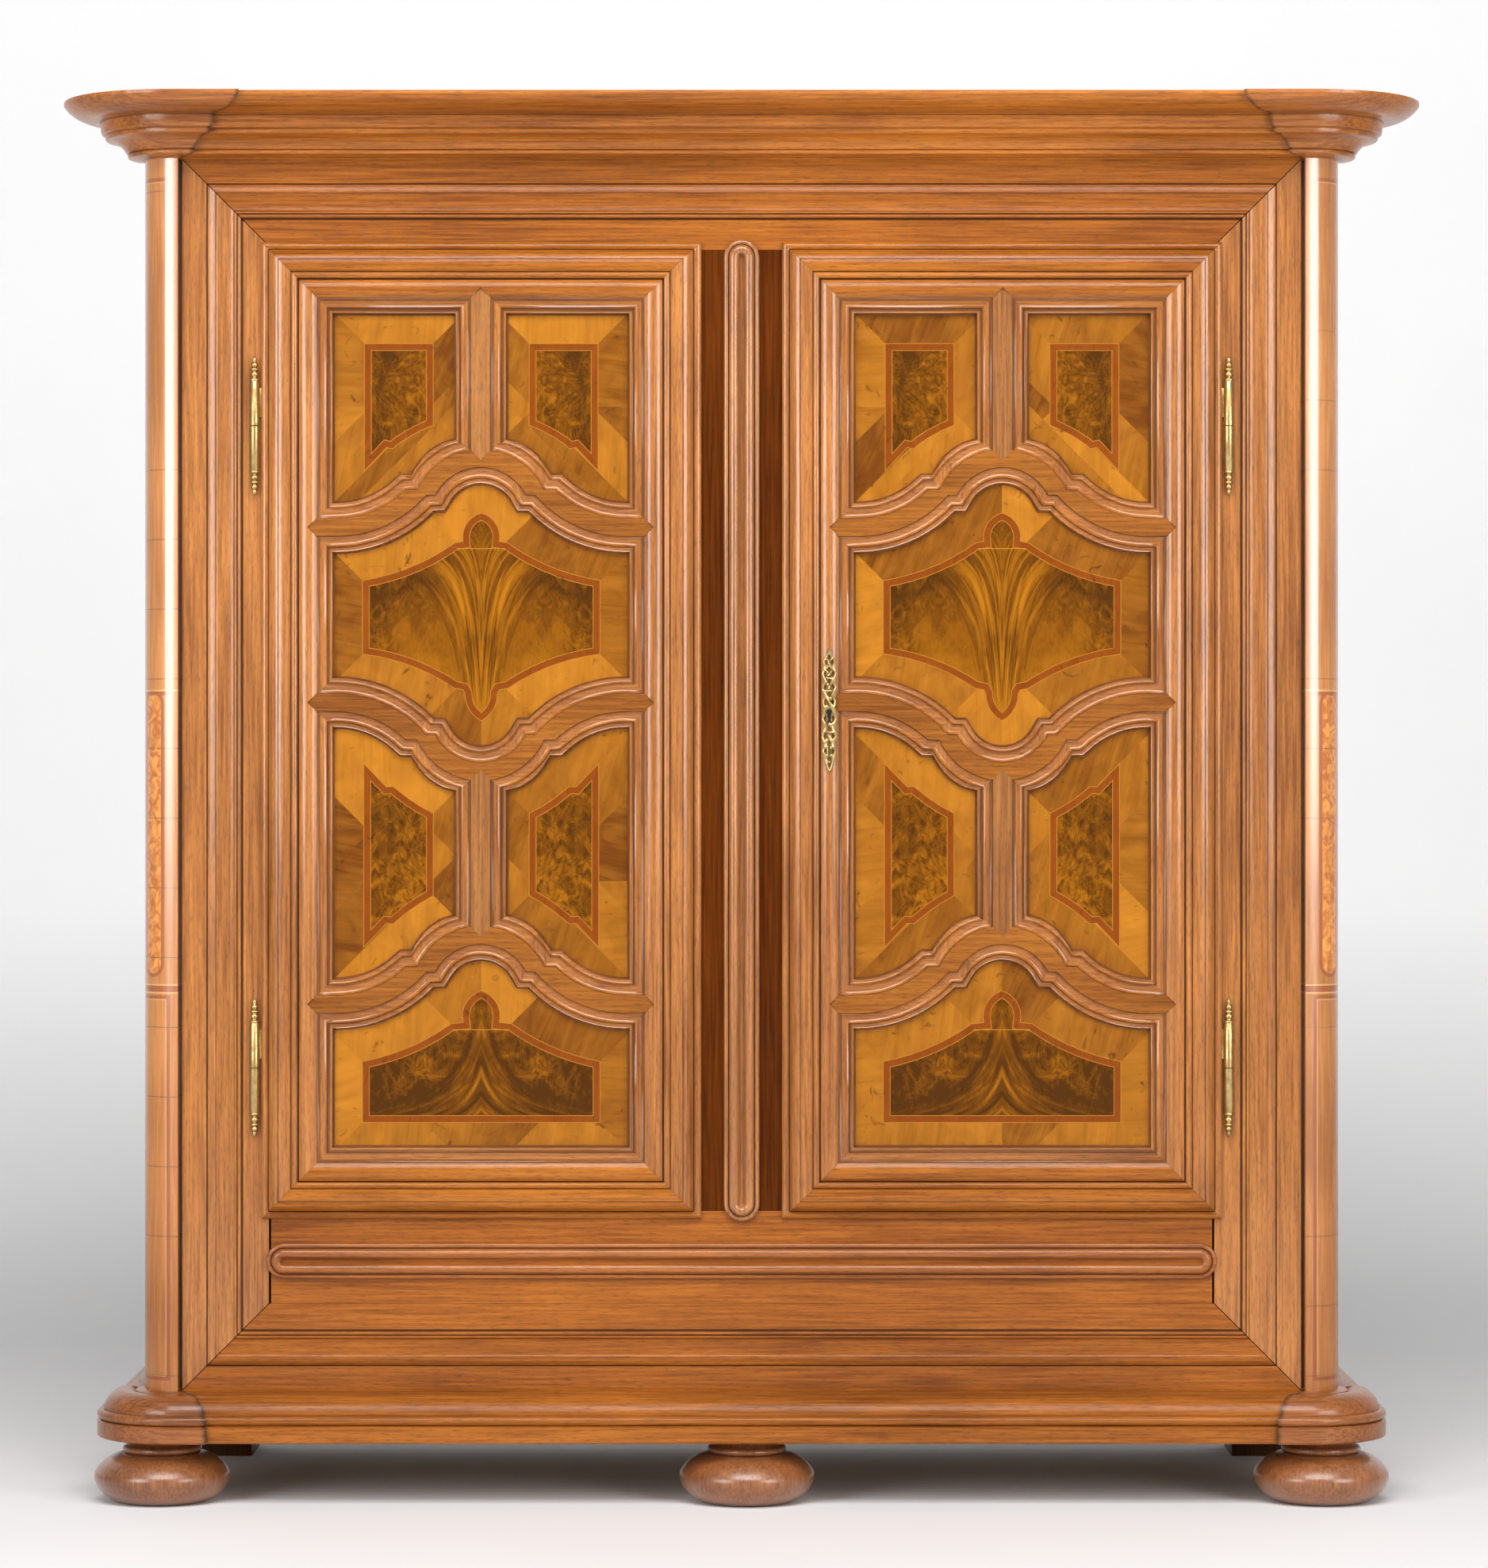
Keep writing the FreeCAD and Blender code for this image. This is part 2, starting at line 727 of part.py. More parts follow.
def door_members():
    section = door_section()
    w = door_member
    x, z0, z1 = door_half, door_bottom, door_top
    y0, y1 = door_back_y + 1, face_y - 2 * door_body_depth
    side = extruded(section, lambda u, p: V(-x + u, face_y - p, z0), V(0, 0, z1 - z0))
    side = side.common(plate([at(-x, z0), at(-x, z1), at(w - x, z1 - w), at(w - x, z0 + w)],
                             y1, y0))
    top = extruded(section, lambda u, p: V(-x, face_y - p, z1 - u), V(2 * x, 0, 0))
    top = top.common(plate([at(-x, z1), at(x, z1), at(x - w, z1 - w), at(w - x, z1 - w)], y1, y0))
    base = extruded(section, lambda u, p: V(-x, face_y - p, z0 + u), V(2 * x, 0, 0))
    base = base.common(plate([at(-x, z0), at(x, z0), at(x - w, z0 + w), at(w - x, z0 + w)],
                             y1, y0))
    return side, mirrored(side), top, base


def cross_members(proud=0.0):
    """Serpentine rails and muntins: flat bars with mitred tips."""
    d = moulding_width
    front = face_y - land_level() - proud
    back = face_y - land_level() + bar_depth
    tip = rail_half - d
    half = muntin_half - d
    lower, middle, upper = shoulders
    outside, inside = outer_edge(d), inner_edge(d)
    crown = crowned(crown_radius + rail_half - d, -half, half)
    top = joined(outside, [outside[-1], crown], mirrored_path(reverse(outside)))
    arch = joined(inside, mirrored_path(reverse(inside)))
    bar = joined(top, [at(field_half + d + tip, 0)], reverse(arch), [at(-field_half - d - tip, 0)])
    rails = [plate(shifted(bar, lower), front, back),
             plate(shifted(flipped(bar), middle), front, back),
             plate(shifted(bar, upper), front, back)]
    seat = outside[-1][0][1]
    spans = [(upper + seat, field_top + d), (lower + seat, middle - seat)]
    muntins = [plate([at(-half, low), at(0, low - half), at(half, low), at(half, high),
                      at(0, high + half), at(-half, high)], front, back) for low, high in spans]
    rails = [rail.cut(muntins[0].fuse(muntins[1])) for rail in rails]
    return rails, muntins


def moulding_section():
    """Panel moulding: distance outside the panel edge, projection."""
    top = land_level()
    edge = moulding_width - moulding_play
    return [(0, moulding_back), (moulding_crest, top + 1.5), (edge, top - 0.5),
            (edge, moulding_back)]


def panel_mouldings():
    section = moulding_section()
    rings = []
    for number in range(len(openings(0))):
        wires = [wire(openings(d)[number], lambda x, z: V(x, face_y - p, z)) for d, p in section]
        faces = Part.makeFace([wires[0], wires[-1]], "Part::FaceMakerBullseye").Faces
        for first, second in zip(wires, wires[1:]):
            faces += Part.makeLoft([first, second], False, True).Faces
        shell = Part.makeShell(faces)
        shell.sewShape()
        rings.append(Part.makeSolid(shell))
    return rings


def straightened(path):
    """Each arc of an outline as two straight cuts."""
    points = []
    for point, mid in path:
        points += [at(*mid), at(*point)] if mid else [at(*point)]
    return points


def panels():
    """Panels cut straight behind the middle of their mouldings."""
    y = face_y - moulding_back
    return [plate(straightened(path), y, y + panel_thickness)
            for path in openings(moulding_width / 2)]


def build_door(side):
    """One door. It is shaped on its own middle line with the hinges on its left."""
    hinge_stile, meeting_stile, top, base = door_members()
    rails, muntins = cross_members()
    tall_rails, tall_muntins = cross_members(ovolo_radius)
    notches = tall_rails[0].fuse(tall_rails[1:] + tall_muntins)
    hinge_stile, meeting_stile = hinge_stile.cut(notches), meeting_stile.cut(notches)
    top = top.cut(notches)
    for split in hinge_splits():
        hinge_stile = hinge_stile.cut(door_leaf(-door_half - hinge_side_gap, split, leaf_play))
    meeting_name = "meeting_stile"
    if side == "right":
        meeting_name = "lock_stile"
        hole = keyhole(door_half - keyhole_inset)
        meeting_stile = meeting_stile.cut(hole)
        rails = [rail.cut(hole) for rail in rails]
    pieces = {"hinge_stile": [hinge_stile], meeting_name: [meeting_stile], "top_rail": [top],
              "bottom_rail": [base], "serpentine_rails": rails, "muntins": muntins,
              "panels": panels(), "panel_mouldings": panel_mouldings(),
              "hinge_door_halves": [door_hinge_half(-door_half - hinge_side_gap, split)
                                    for split in hinge_splits()]}
    for name, shapes in pieces.items():
        placed = []
        for shape in shapes:
            shape.translate(V(-door_centre, 0, 0))
            placed.append(mirrored(shape) if side == "right" else shape)
        save(f"{side}_{name}", *placed)
    frame_halves = [frame_hinge_half(hinge_x, split) for split in hinge_splits()]
    if side == "left":
        frame_halves = [mirrored(half) for half in frame_halves]
    save(f"{side}_hinge_frame_halves", *frame_halves)


# Finial pin hinges
def barrel_end():
    """Straight barrel out to the length of the turned finial: radius, distance from the split."""
    end = knuckle_length + finial_length
    return [at(knuckle_radius, end), at(0, end)]


def frame_leaf(x, split, play):
    """Thin plate driven into the stile behind the lower knuckle."""
    half = leaf_thickness / 2 + play
    high = split - knuckle_length + leaf_height
    return box(x - half, x + half, hinge_y, face_y + leaf_reach + play,
               high - leaf_height - play, high + play)


def door_leaf(x, split, play):
    """Thin plate driven into the door's lip beside the upper knuckle."""
    half = leaf_thickness / 2 + play
    y = face_y - lip_gap - lip_edge / 2
    low = split + knuckle_length - leaf_height
    return box(x, x + hinge_side_gap + leaf_reach + play, y - half, y + half,
               low - play, low + leaf_height + play)


def frame_hinge_half(x, split):
    pin = knuckle_length - finial_length / 5
    body = [at(0, -knuckle_gap / 2), at(knuckle_radius, -knuckle_gap / 2)]
    body += mapped(barrel_end(), lambda r, h: (r, -h))
    knuckle = turned(body, x, hinge_y, split)
    shaft = Part.makeCylinder(hinge_pin_radius, pin + 2, V(x, hinge_y, split - 2))
    return fused(knuckle, shaft, frame_leaf(x, split, 0))


def door_hinge_half(x, split):
    bore = hinge_pin_radius + pin_clearance
    depth = knuckle_length - finial_length / 5 + 2
    body = [at(0, depth), at(bore, depth), at(bore, knuckle_gap / 2),
            at(knuckle_radius, knuckle_gap / 2)] + barrel_end()
    knuckle = turned(body, x, hinge_y, split)
    leaf = door_leaf(x, split, 0)
    return fused(knuckle, leaf.cut(Part.makeCylinder(bore, depth, V(x, hinge_y, split))))


# Lock on the right door, bolts on the left door
def keyhole(x):
    z = door_bottom + keyhole_rise
    depth = door_body_depth + 2 * ovolo_radius
    y = face_y - 2 * ovolo_radius
    hole = Part.makeCylinder(keyhole_radius, depth + 1, V(x, y, z), V(0, 1, 0))
    slot = box(x - keyhole_slot / 2, x + keyhole_slot / 2, y, y + depth + 1, z - keyhole_drop, z)
    return hole.fuse(slot)


def build_lock():
    x0 = door_gap / 2 + lock_inset
    x1 = x0 + lock_length
    z = door_bottom + keyhole_rise
    y0, y1 = door_back_y, door_back_y + lock_depth
    case = box(x0, x1, y0, y1, z - lock_height / 2, z + lock_height / 2)
    hollow = box(x0 + lock_wall, x1 - lock_wall, y0 + lock_wall, y1 - lock_wall,
                 z - lock_height / 2 + lock_wall, z + lock_height / 2 - lock_wall)
    bolt_y = (y0 + y1) / 2
    half_y, half_z = lock_bolt_depth / 2, lock_bolt_height / 2
    slot = box(x0 - 1, x0 + lock_wall + 1, bolt_y - half_y - slide_play, bolt_y + half_y + slide_play,
               z - half_z - slide_play, z + half_z + slide_play)
    key_x = door_gap / 2 + keyhole_inset
    front_hole = Part.makeCylinder(keyhole_radius, lock_wall + 2, V(key_x, y0 - 1, z), V(0, 1, 0))
    rest_y = bolt_y - half_y - slide_play
    shelf = box(x0 + lock_wall, x0 + lock_length / 3, y0 + lock_wall, rest_y,
                z - half_z, z + half_z)
    case = case.cut(hollow).cut(slot).cut(front_hole)
    save("lock_case", fused(case, shelf))
    bolt = box(x0, x0 + lock_bolt_length, bolt_y - half_y, bolt_y + half_y,
               z - half_z, z + half_z)
    reach = keyhole_radius + lock_bolt_travel / 2
    notch = box(key_x - keyhole_radius, key_x + reach, bolt_y - half_y - 1,
                bolt_y + half_y + 1, z - half_z - 1, z + keyhole_radius)
    save("lock_bolt", bolt.cut(notch))

    k1 = post_half - 2
    k0 = k1 - keeper_length
    reach = half_z + keeper_margin
    save("lock_keeper", box(k0, k1, frame_back_y, bolt_y - half_y - keeper_play,
                            z - reach, z + reach))

    save("escutcheon", escutcheon(key_x, z))


def escutcheon(x, z):
    """Long brass plate with lobed sides and pointed ends, seated on the stile's inner bead."""
    w, h = plate_width / 2, plate_length / 2
    front = face_y - land_level() - inner_bead_rise - plate_thickness
    right = [at(0, h), at(0.35 * w, 0.85 * h), arc(0.9 * w, 0.65 * h, 0.6 * w, 0.4 * h),
             at(w, 0.25 * h), at(w, -0.25 * h), at(0.6 * w, -0.4 * h),
             arc(0.9 * w, -0.65 * h, 0.35 * w, -0.85 * h), at(0, -h)]
    outline = joined(right, mirrored_path(reverse(right)))[:-1]
    solid = plate(outline, front, front + plate_thickness)
    solid.translate(V(x, 0, z))
    return solid.cut(keyhole(x))


def slide_bolt(x, z, up):
    """Flat bar with a round knob; up is 1 for the upper bolt and -1 for the lower one."""
    y = door_back_y + bolt_lift
    bar = box(x - bolt_width / 2, x + bolt_width / 2, y, y + bolt_depth,
              min(z, z - up * bolt_length), max(z, z - up * bolt_length))
    knob_z = z - up * bolt_length / 2
    knob = Part.makeCylinder(knob_radius, knob_length, V(x, y + bolt_depth - 1, knob_z), V(0, 1, 0))
    return fused(bar, knob)


def bolt_guide(x, z):
    y = door_back_y + bolt_lift
    half = bolt_width / 2 + slide_play
    body = box(x - half - guide_wall, x + half + guide_wall, door_back_y,
               y + bolt_depth + slide_play + guide_wall, z - guide_height / 2, z + guide_height / 2)
    way = box(x - half, x + half, y - slide_play, y + bolt_depth + slide_play,
              z - guide_height, z + guide_height)
    return body.cut(way)


def build_bolts():
    x = -door_gap / 2 - bolt_inset
    top_z = opening_top - bolt_inside
    low_z = opening_bottom + bolt_inside
    save("upper_bolt", slide_bolt(x, top_z, 1))
    save("lower_bolt", slide_bolt(x, low_z, -1))
    guides = []
    for z in (top_z - bolt_length / 2, low_z + bolt_length / 2):
        guides += [bolt_guide(x, z - guide_spread), bolt_guide(x, z + guide_spread)]
    save("bolt_guides", *guides)


# Hat shelf and clothes rail
def build_inside():
    shelf_top = case_top - shelf_drop
    shelf_low = shelf_top - board_thickness
    half = side_inner - seat_play
    y0, y1 = frame_back_y + shelf_front_setback, board_front_y - seat_play
    save("hat_shelf", box(-half, half, y0, y1, shelf_low, shelf_top))
    batten_low = shelf_low - batten_height
    side = box(side_inner - batten_depth, side_inner, y0, y1 - batten_depth, batten_low, shelf_low)
    rear = box(-half, half, board_front_y - batten_depth, board_front_y, batten_low, shelf_low)
    save("shelf_battens", side, mirrored(side), rear)
    rail_z = batten_low - rail_drop
    rail_y = (y0 + y1) / 2
    reach = side_inner - seat_play
    save("clothes_rail", Part.makeCylinder(rail_radius, 2 * reach, V(-reach, rail_y, rail_z),
                                           V(1, 0, 0)))
    seat = rail_radius + seat_play
    bracket = box(side_inner - bracket_thickness, side_inner, rail_y - bracket_half,
                  rail_y + bracket_half, rail_z - bracket_half, batten_low)
    way = Part.makeCylinder(seat, bracket_thickness + 2,
                            V(side_inner - bracket_thickness - 1, rail_y, rail_z), V(1, 0, 0))
    bracket = bracket.cut(way)
    save("rail_brackets", bracket, mirrored(bracket))


os.makedirs("parts", exist_ok=True)
right_column = column_solid()
build_base(right_column.fuse(mirrored(right_column)))
build_feet()
build_sides()
build_front_frame()
build_cornice()
build_inside()
build_door("left")
build_door("right")
build_lock()
build_bolts()
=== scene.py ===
import json
import math

import bmesh
import bpy
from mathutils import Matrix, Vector

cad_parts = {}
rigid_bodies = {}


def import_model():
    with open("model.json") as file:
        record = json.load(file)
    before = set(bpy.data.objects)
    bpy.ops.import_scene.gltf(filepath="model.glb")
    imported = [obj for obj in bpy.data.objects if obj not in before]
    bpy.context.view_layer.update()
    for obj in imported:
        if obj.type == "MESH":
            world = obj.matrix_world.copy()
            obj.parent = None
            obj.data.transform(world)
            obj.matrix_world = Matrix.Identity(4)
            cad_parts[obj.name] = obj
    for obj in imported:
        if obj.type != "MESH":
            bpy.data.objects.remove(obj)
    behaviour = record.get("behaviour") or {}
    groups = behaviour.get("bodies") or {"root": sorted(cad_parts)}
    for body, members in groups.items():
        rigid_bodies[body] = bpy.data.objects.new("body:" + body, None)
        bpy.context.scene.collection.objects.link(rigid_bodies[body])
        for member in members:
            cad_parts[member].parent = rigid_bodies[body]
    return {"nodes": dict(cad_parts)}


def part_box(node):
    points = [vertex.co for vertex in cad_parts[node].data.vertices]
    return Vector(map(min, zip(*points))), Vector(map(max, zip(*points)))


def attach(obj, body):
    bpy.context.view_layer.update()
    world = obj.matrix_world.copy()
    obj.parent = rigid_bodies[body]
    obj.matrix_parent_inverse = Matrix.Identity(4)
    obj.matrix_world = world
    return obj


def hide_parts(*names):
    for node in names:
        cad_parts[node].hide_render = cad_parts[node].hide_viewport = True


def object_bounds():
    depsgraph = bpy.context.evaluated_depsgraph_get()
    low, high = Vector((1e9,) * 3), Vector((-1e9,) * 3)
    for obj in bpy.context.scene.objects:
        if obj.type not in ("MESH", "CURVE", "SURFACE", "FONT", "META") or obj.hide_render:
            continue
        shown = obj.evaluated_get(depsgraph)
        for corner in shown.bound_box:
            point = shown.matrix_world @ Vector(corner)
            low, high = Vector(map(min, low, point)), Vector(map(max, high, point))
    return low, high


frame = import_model()
cad_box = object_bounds()
cad = frame["nodes"]
right, back, up = Vector((1, 0, 0)), Vector((0, 1, 0)), Vector((0, 0, 1))
mm = 0.001
bpy.context.scene.view_settings.view_transform = "Standard"


# Bun feet: three flattened balls of dark oak under the front corners and the middle.
# Each is turned on a lathe from one block, with a ring and a neck glued into the plinth.
# Two plain sawn blocks, out of sight, carry the back, coloured near black as painted shade.
def moulding(*points):
    """An outline in millimetres: straight to each point (a, b), or round to (a, b, rise, steps),
    where rise is how far the round swells to the left of its way."""
    outline = []
    for a1, b1, *swell in points:
        if swell:
            rise, steps = swell
            chord = math.hypot(a1 - a0, b1 - b0)
            half = 2 * math.atan2(2 * rise, chord)
            radius = chord / (2 * math.sin(half))
            da, db = (a1 - a0) / chord, (b1 - b0) / chord
            for i in range(1, steps + 1):
                t = half * (2 * i / steps - 1)
                along = chord / 2 + radius * math.sin(t)
                out = radius * (math.cos(t) - math.cos(half))
                outline.append((a0 + da * along - db * out, b0 + db * along + da * out))
        else:
            outline.append((a1, b1))
        a0, b0 = a1, b1
    return outline


def take_up(piece):
    """Selects one piece and nothing else."""
    bpy.ops.object.select_all(action="DESELECT")
    piece.select_set(True)
    bpy.context.view_layer.objects.active = piece


def work_on(piece):
    """Opens a piece in edit mode with all of it selected."""
    take_up(piece)
    bpy.ops.object.mode_set(mode="EDIT")
    bpy.ops.mesh.select_all(action="SELECT")


def drawn_section(name, outline, corner, across, rising, closed=True):
    """Starts a piece as a flat outline, drawn point by point in millimetres from a corner."""
    spots = [corner + (across * a + rising * b) * mm for a, b in outline]
    bpy.ops.object.select_all(action="DESELECT")
    bpy.ops.mesh.primitive_plane_add(size=mm)
    piece = bpy.context.object
    piece.name = piece.data.name = name
    bpy.ops.object.mode_set(mode="EDIT")
    bpy.ops.mesh.select_mode(type="VERT")
    bpy.ops.mesh.merge(type="CENTER")
    bpy.ops.transform.translate(value=spots[0])
    for here, there in zip(spots, spots[1:]):
        bpy.ops.mesh.extrude_vertices_move(TRANSFORM_OT_translate={"value": there - here})
    bpy.ops.mesh.select_all(action="SELECT")
    if closed:
        bpy.ops.mesh.edge_face_add()
    return piece


def pull(way):
    """Pulls the selected faces out along a straight line."""
    bpy.ops.mesh.extrude_region_move(TRANSFORM_OT_translate={"value": way})


def saw_off(point, waste):
    """Saws the piece through at a point and drops the part on the waste side."""
    bpy.ops.mesh.select_all(action="SELECT")
    bpy.ops.mesh.bisect(
        plane_co=point, plane_no=waste, use_fill=True, clear_outer=True, threshold=1e-6)


def face_out():
    """Selects the whole of a piece and turns its faces outward."""
    bpy.ops.mesh.select_all(action="SELECT")
    bpy.ops.mesh.normals_make_consistent(inside=False)


def close_up(piece, smooth=30):
    """Merges the seams, turns the faces outward and smooths the rounded ones."""
    bpy.ops.mesh.select_all(action="SELECT")
    bpy.ops.mesh.remove_doubles(threshold=2e-6)
    face_out()
    bpy.ops.object.mode_set(mode="OBJECT")
    bpy.ops.object.shade_smooth_by_angle(angle=math.radians(smooth))
    return piece


def turned(name, profile, spot, steps, smooth):
    """A piece turned on a lathe, about an upright line through a spot."""
    piece = drawn_section(name, profile, spot, right, up, closed=False)
    bpy.ops.mesh.spin(steps=steps, angle=2 * math.pi, center=spot, axis=up)
    return close_up(piece, smooth)


def shade_and_wax_quirks(piece, strength, inward=-0.35):
    """Painted shade and old wax, dark in each inward corner: a value from 0 to 1 at the points."""
    mesh = piece.data
    beside = {}
    for face in mesh.polygons:
        ids = list(face.vertices)
        for a, b in zip(ids, ids[1:] + ids[:1]):
            beside.setdefault((min(a, b), max(a, b)), []).append((face.normal, a < b))
    dark = [0.0] * len(mesh.vertices)
    for (a, b), sides in beside.items():
        if len(sides) == 2:
            edge = (mesh.vertices[b].co - mesh.vertices[a].co).normalized()
            turn = sides[0][0].cross(sides[1][0]).dot(edge if sides[0][1] else -edge)
            if turn < inward:
                dark[a] = dark[b] = strength
    mesh.attributes.new("shade_and_wax", "FLOAT", "POINT").data.foreach_set("value", dark)


def feed(node, sockets):
    """Wires a node's inputs, or sets them to plain values. A colour is red, green and blue."""
    for name, value in sockets.items():
        if isinstance(value, bpy.types.NodeSocket):
            node.id_data.links.new(value, node.inputs[name])
        else:
            socket = node.inputs[name]
            socket.default_value = (*value, 1) if socket.type == "RGBA" else value


def put(kind, sockets, tree=None, **settings):
    """Places a shader node, by default in the tree that its inputs come from, and sets it up."""
    wires = [value for value in sockets.values() if isinstance(value, bpy.types.NodeSocket)]
    made = (tree or wires[0].id_data).nodes.new(kind)
    for name, value in settings.items():
        setattr(made, name, value)
    feed(made, sockets)
    return made


def reckon(operation, a, b=0.0):
    return put("ShaderNodeMath", {0: a, 1: b}, operation=operation).outputs[0]


def plus(a, b):
    return reckon("ADD", a, b)


def minus(a, b):
    return reckon("SUBTRACT", a, b)


def times(a, b):
    return reckon("MULTIPLY", a, b)


def unsigned(a):
    return reckon("ABSOLUTE", a)


def ramp(value, low, high, to_low=0.0, to_high=1.0):
    return put("ShaderNodeMapRange", {
        "Value": value, "From Min": low, "From Max": high, "To Min": to_low,
        "To Max": to_high}).outputs[0]


def tint(factor, one, two, mode="MIX"):
    return put(
        "ShaderNodeMix", {0: factor, 6: one, 7: two}, data_type="RGBA", blend_type=mode).outputs[2]


def parts(vector):
    return put("ShaderNodeSeparateXYZ", {0: vector}).outputs


def streaks(vector, scale, detail=2.0, distortion=0.0):
    """Noise drawn out by a different scale each way."""
    drawn_out = put("ShaderNodeMapping", {"Vector": vector, "Scale": scale}).outputs[0]
    return put("ShaderNodeTexNoise", {
        "Vector": drawn_out, "Scale": 1.0, "Detail": detail, "Distortion": distortion}).outputs[0]


def bumps(height, strength, distance):
    return put("ShaderNodeBump", {
        "Height": height, "Strength": strength, "Distance": distance}).outputs[0]


def attribute(tree, name):
    return put("ShaderNodeAttribute", {}, tree, attribute_name=name).outputs["Fac"]


def new_group(name, inputs, outputs):
    """An empty node group with named sockets: itself, what it is given and its end node."""
    group = bpy.data.node_groups.new(name, "ShaderNodeTree")
    for sockets, in_out in ((inputs, "INPUT"), (outputs, "OUTPUT")):
        for label, kind in sockets.items():
            group.interface.new_socket(label, in_out=in_out, socket_type="NodeSocket" + kind)
    given = group.nodes.new("NodeGroupInput").outputs
    return group, given, group.nodes.new("NodeGroupOutput")


def place_group(group, sockets):
    return put("ShaderNodeGroup", sockets, node_tree=group).outputs


def new_finish(name):
    """An empty material: itself, its surface and the place on the piece."""
    finish = bpy.data.materials.new(name)
    finish.use_nodes = True
    tree = finish.node_tree
    spot = put("ShaderNodeTexCoord", {}, tree).outputs["Object"]
    return finish, tree.nodes["Principled BSDF"], spot


oak_figure, given, result = new_group(
    "oak_figure", {"Vector": "Vector", "Light": "Color", "Dark": "Color"},
    {"Color": "Color", "Roughness": "Float", "Height": "Float", "Polish": "Float"})
pore_brown, wax_and_shade_brown = (0.07, 0.022, 0.005), (0.03, 0.011, 0.003)
broad = streaks(given["Vector"], (17, 17, 1.5), 5.0, 0.9)
fibre = streaks(given["Vector"], (260, 260, 8), 3.0)
patina = streaks(given["Vector"], (3, 3, 2), 2.0)
pores = ramp(streaks(given["Vector"], (620, 620, 55), 2.0), 0.54, 0.66)
tone = plus(times(plus(broad, patina), 0.6), fibre)
wood = tint(ramp(tone, 0.82, 1.36), given["Dark"], given["Light"])
wood = tint(times(pores, 0.4), wood, pore_brown)
# Painted shade and old wax: inward corners darken towards a dark brown, and their coat is dimmed.
shade_and_wax = times(reckon("POWER", attribute(oak_figure, "shade_and_wax"), 12.0), 0.85)
feed(result, {
    "Color": tint(shade_and_wax, wood, wax_and_shade_brown), "Height": minus(fibre, pores),
    "Roughness": ramp(plus(fibre, pores), 0.3, 1.6, 0.3, 0.5), "Polish": minus(1.0, shade_and_wax)})
along_x, along_y, along_z = (0, math.pi / 2, 0), (math.pi / 2, 0, 0), (0, 0, 0)


def oak(name, grain, light, dark, coat=0.2, shine=0.3, polish=0.18):
    """Waxed oak whose grain runs one way."""
    finish, surface, spot = new_finish(name)
    run = put("ShaderNodeMapping", {"Vector": spot, "Rotation": grain}, name="grain").outputs[0]
    figure = place_group(oak_figure, {"Vector": run, "Light": light, "Dark": dark})
    feed(surface, {
        "Base Color": figure["Color"], "Roughness": figure["Roughness"],
        "Normal": bumps(figure["Height"], 0.2, 0.0005), "Specular IOR Level": shine,
        "Coat Weight": times(figure["Polish"], coat), "Coat Roughness": polish})
    return finish


def fit(piece, body, slot, finish, *nodes, shade_and_wax=1.0):
    """Gives a finished piece its material, its body and the solids that it stands for."""
    piece.data.materials.clear()
    piece.data.materials.append(finish)
    shade_and_wax_quirks(piece, shade_and_wax)
    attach(piece, body)
    if nodes:
        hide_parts(*nodes)


def dress(finish, *nodes):
    """Gives solids that keep their shape a finish."""
    for name in nodes:
        for slot in cad[name].material_slots:
            slot.material = finish


foot_oak = oak("foot_oak", along_z, (0.36, 0.13, 0.042), (0.15, 0.046, 0.014), 1.0, 0.3, 0.28)
# Painted shade: the rear blocks are coloured near black, for the shade under the plinth.
rear_block_shaded_oak = oak(
    "rear_block_shaded_oak", along_z, (0.09, 0.035, 0.012), (0.04, 0.014, 0.004), 0.0, 0.1)
foot_reach, foot_setback = 0.1025, 0.029
middle_foot_x, middle_foot_y = 0.008, -0.245
foot_profile = moulding(
    (0, 0), (58, 0), (100, 29, -8, 7), (100, 47, -2.5, 4), (55, 74, -7, 7), (55, 85, -5, 6),
    (50, 97, 2, 4), (0, 97))
centre = Vector((
    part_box("bun_feet")[0].x + foot_reach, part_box("corner_column_left")[0].y + foot_setback, 0))
feet = turned("turned_bun_feet", foot_profile, centre, steps=72, smooth=40)
work_on(feet)
for way in ((-2 * centre.x, 0, 0), (middle_foot_x + centre.x, middle_foot_y - centre.y, 0)):
    bpy.ops.mesh.duplicate_move(TRANSFORM_OT_translate={"value": way})
bpy.ops.object.mode_set(mode="OBJECT")
fit(feet, "case", "foot_wood", foot_oak, "bun_feet")
dress(rear_block_shaded_oak, "rear_feet")


# Plinth: an oak moulding with a plain face, a bead and a rounded shoulder, glued up in runs.
# Quarter-round corner blocks break forward under the columns and meet the straight runs in
# slanting joints that have opened with age. A softwood rail closes the back.
def mirror_copy(piece, name):
    """The same piece for the other side of the wardrobe, with its own mesh."""
    take_up(piece)
    bpy.ops.object.duplicate()
    copy = bpy.context.object
    copy.name = copy.data.name = name
    work_on(copy)
    bpy.ops.transform.resize(value=(-1, 1, 1), center_override=(0, 0, 0))
    face_out()
    bpy.ops.object.mode_set(mode="OBJECT")
    return copy


def fit_pair(piece, other_name, bodies, slot, finish, nodes, shade_and_wax=1.0):
    """Fits a piece and its mirror copy, each to its own body and solid."""
    other = mirror_copy(piece, other_name)
    fit(piece, bodies[0], slot, finish, nodes[0], shade_and_wax=shade_and_wax)
    fit(other, bodies[1], slot, finish, nodes[1], shade_and_wax=shade_and_wax)


def join(first, *others):
    """Makes several meshes one piece."""
    take_up(first)
    for piece in others:
        piece.select_set(True)
    bpy.ops.object.join()
    return first


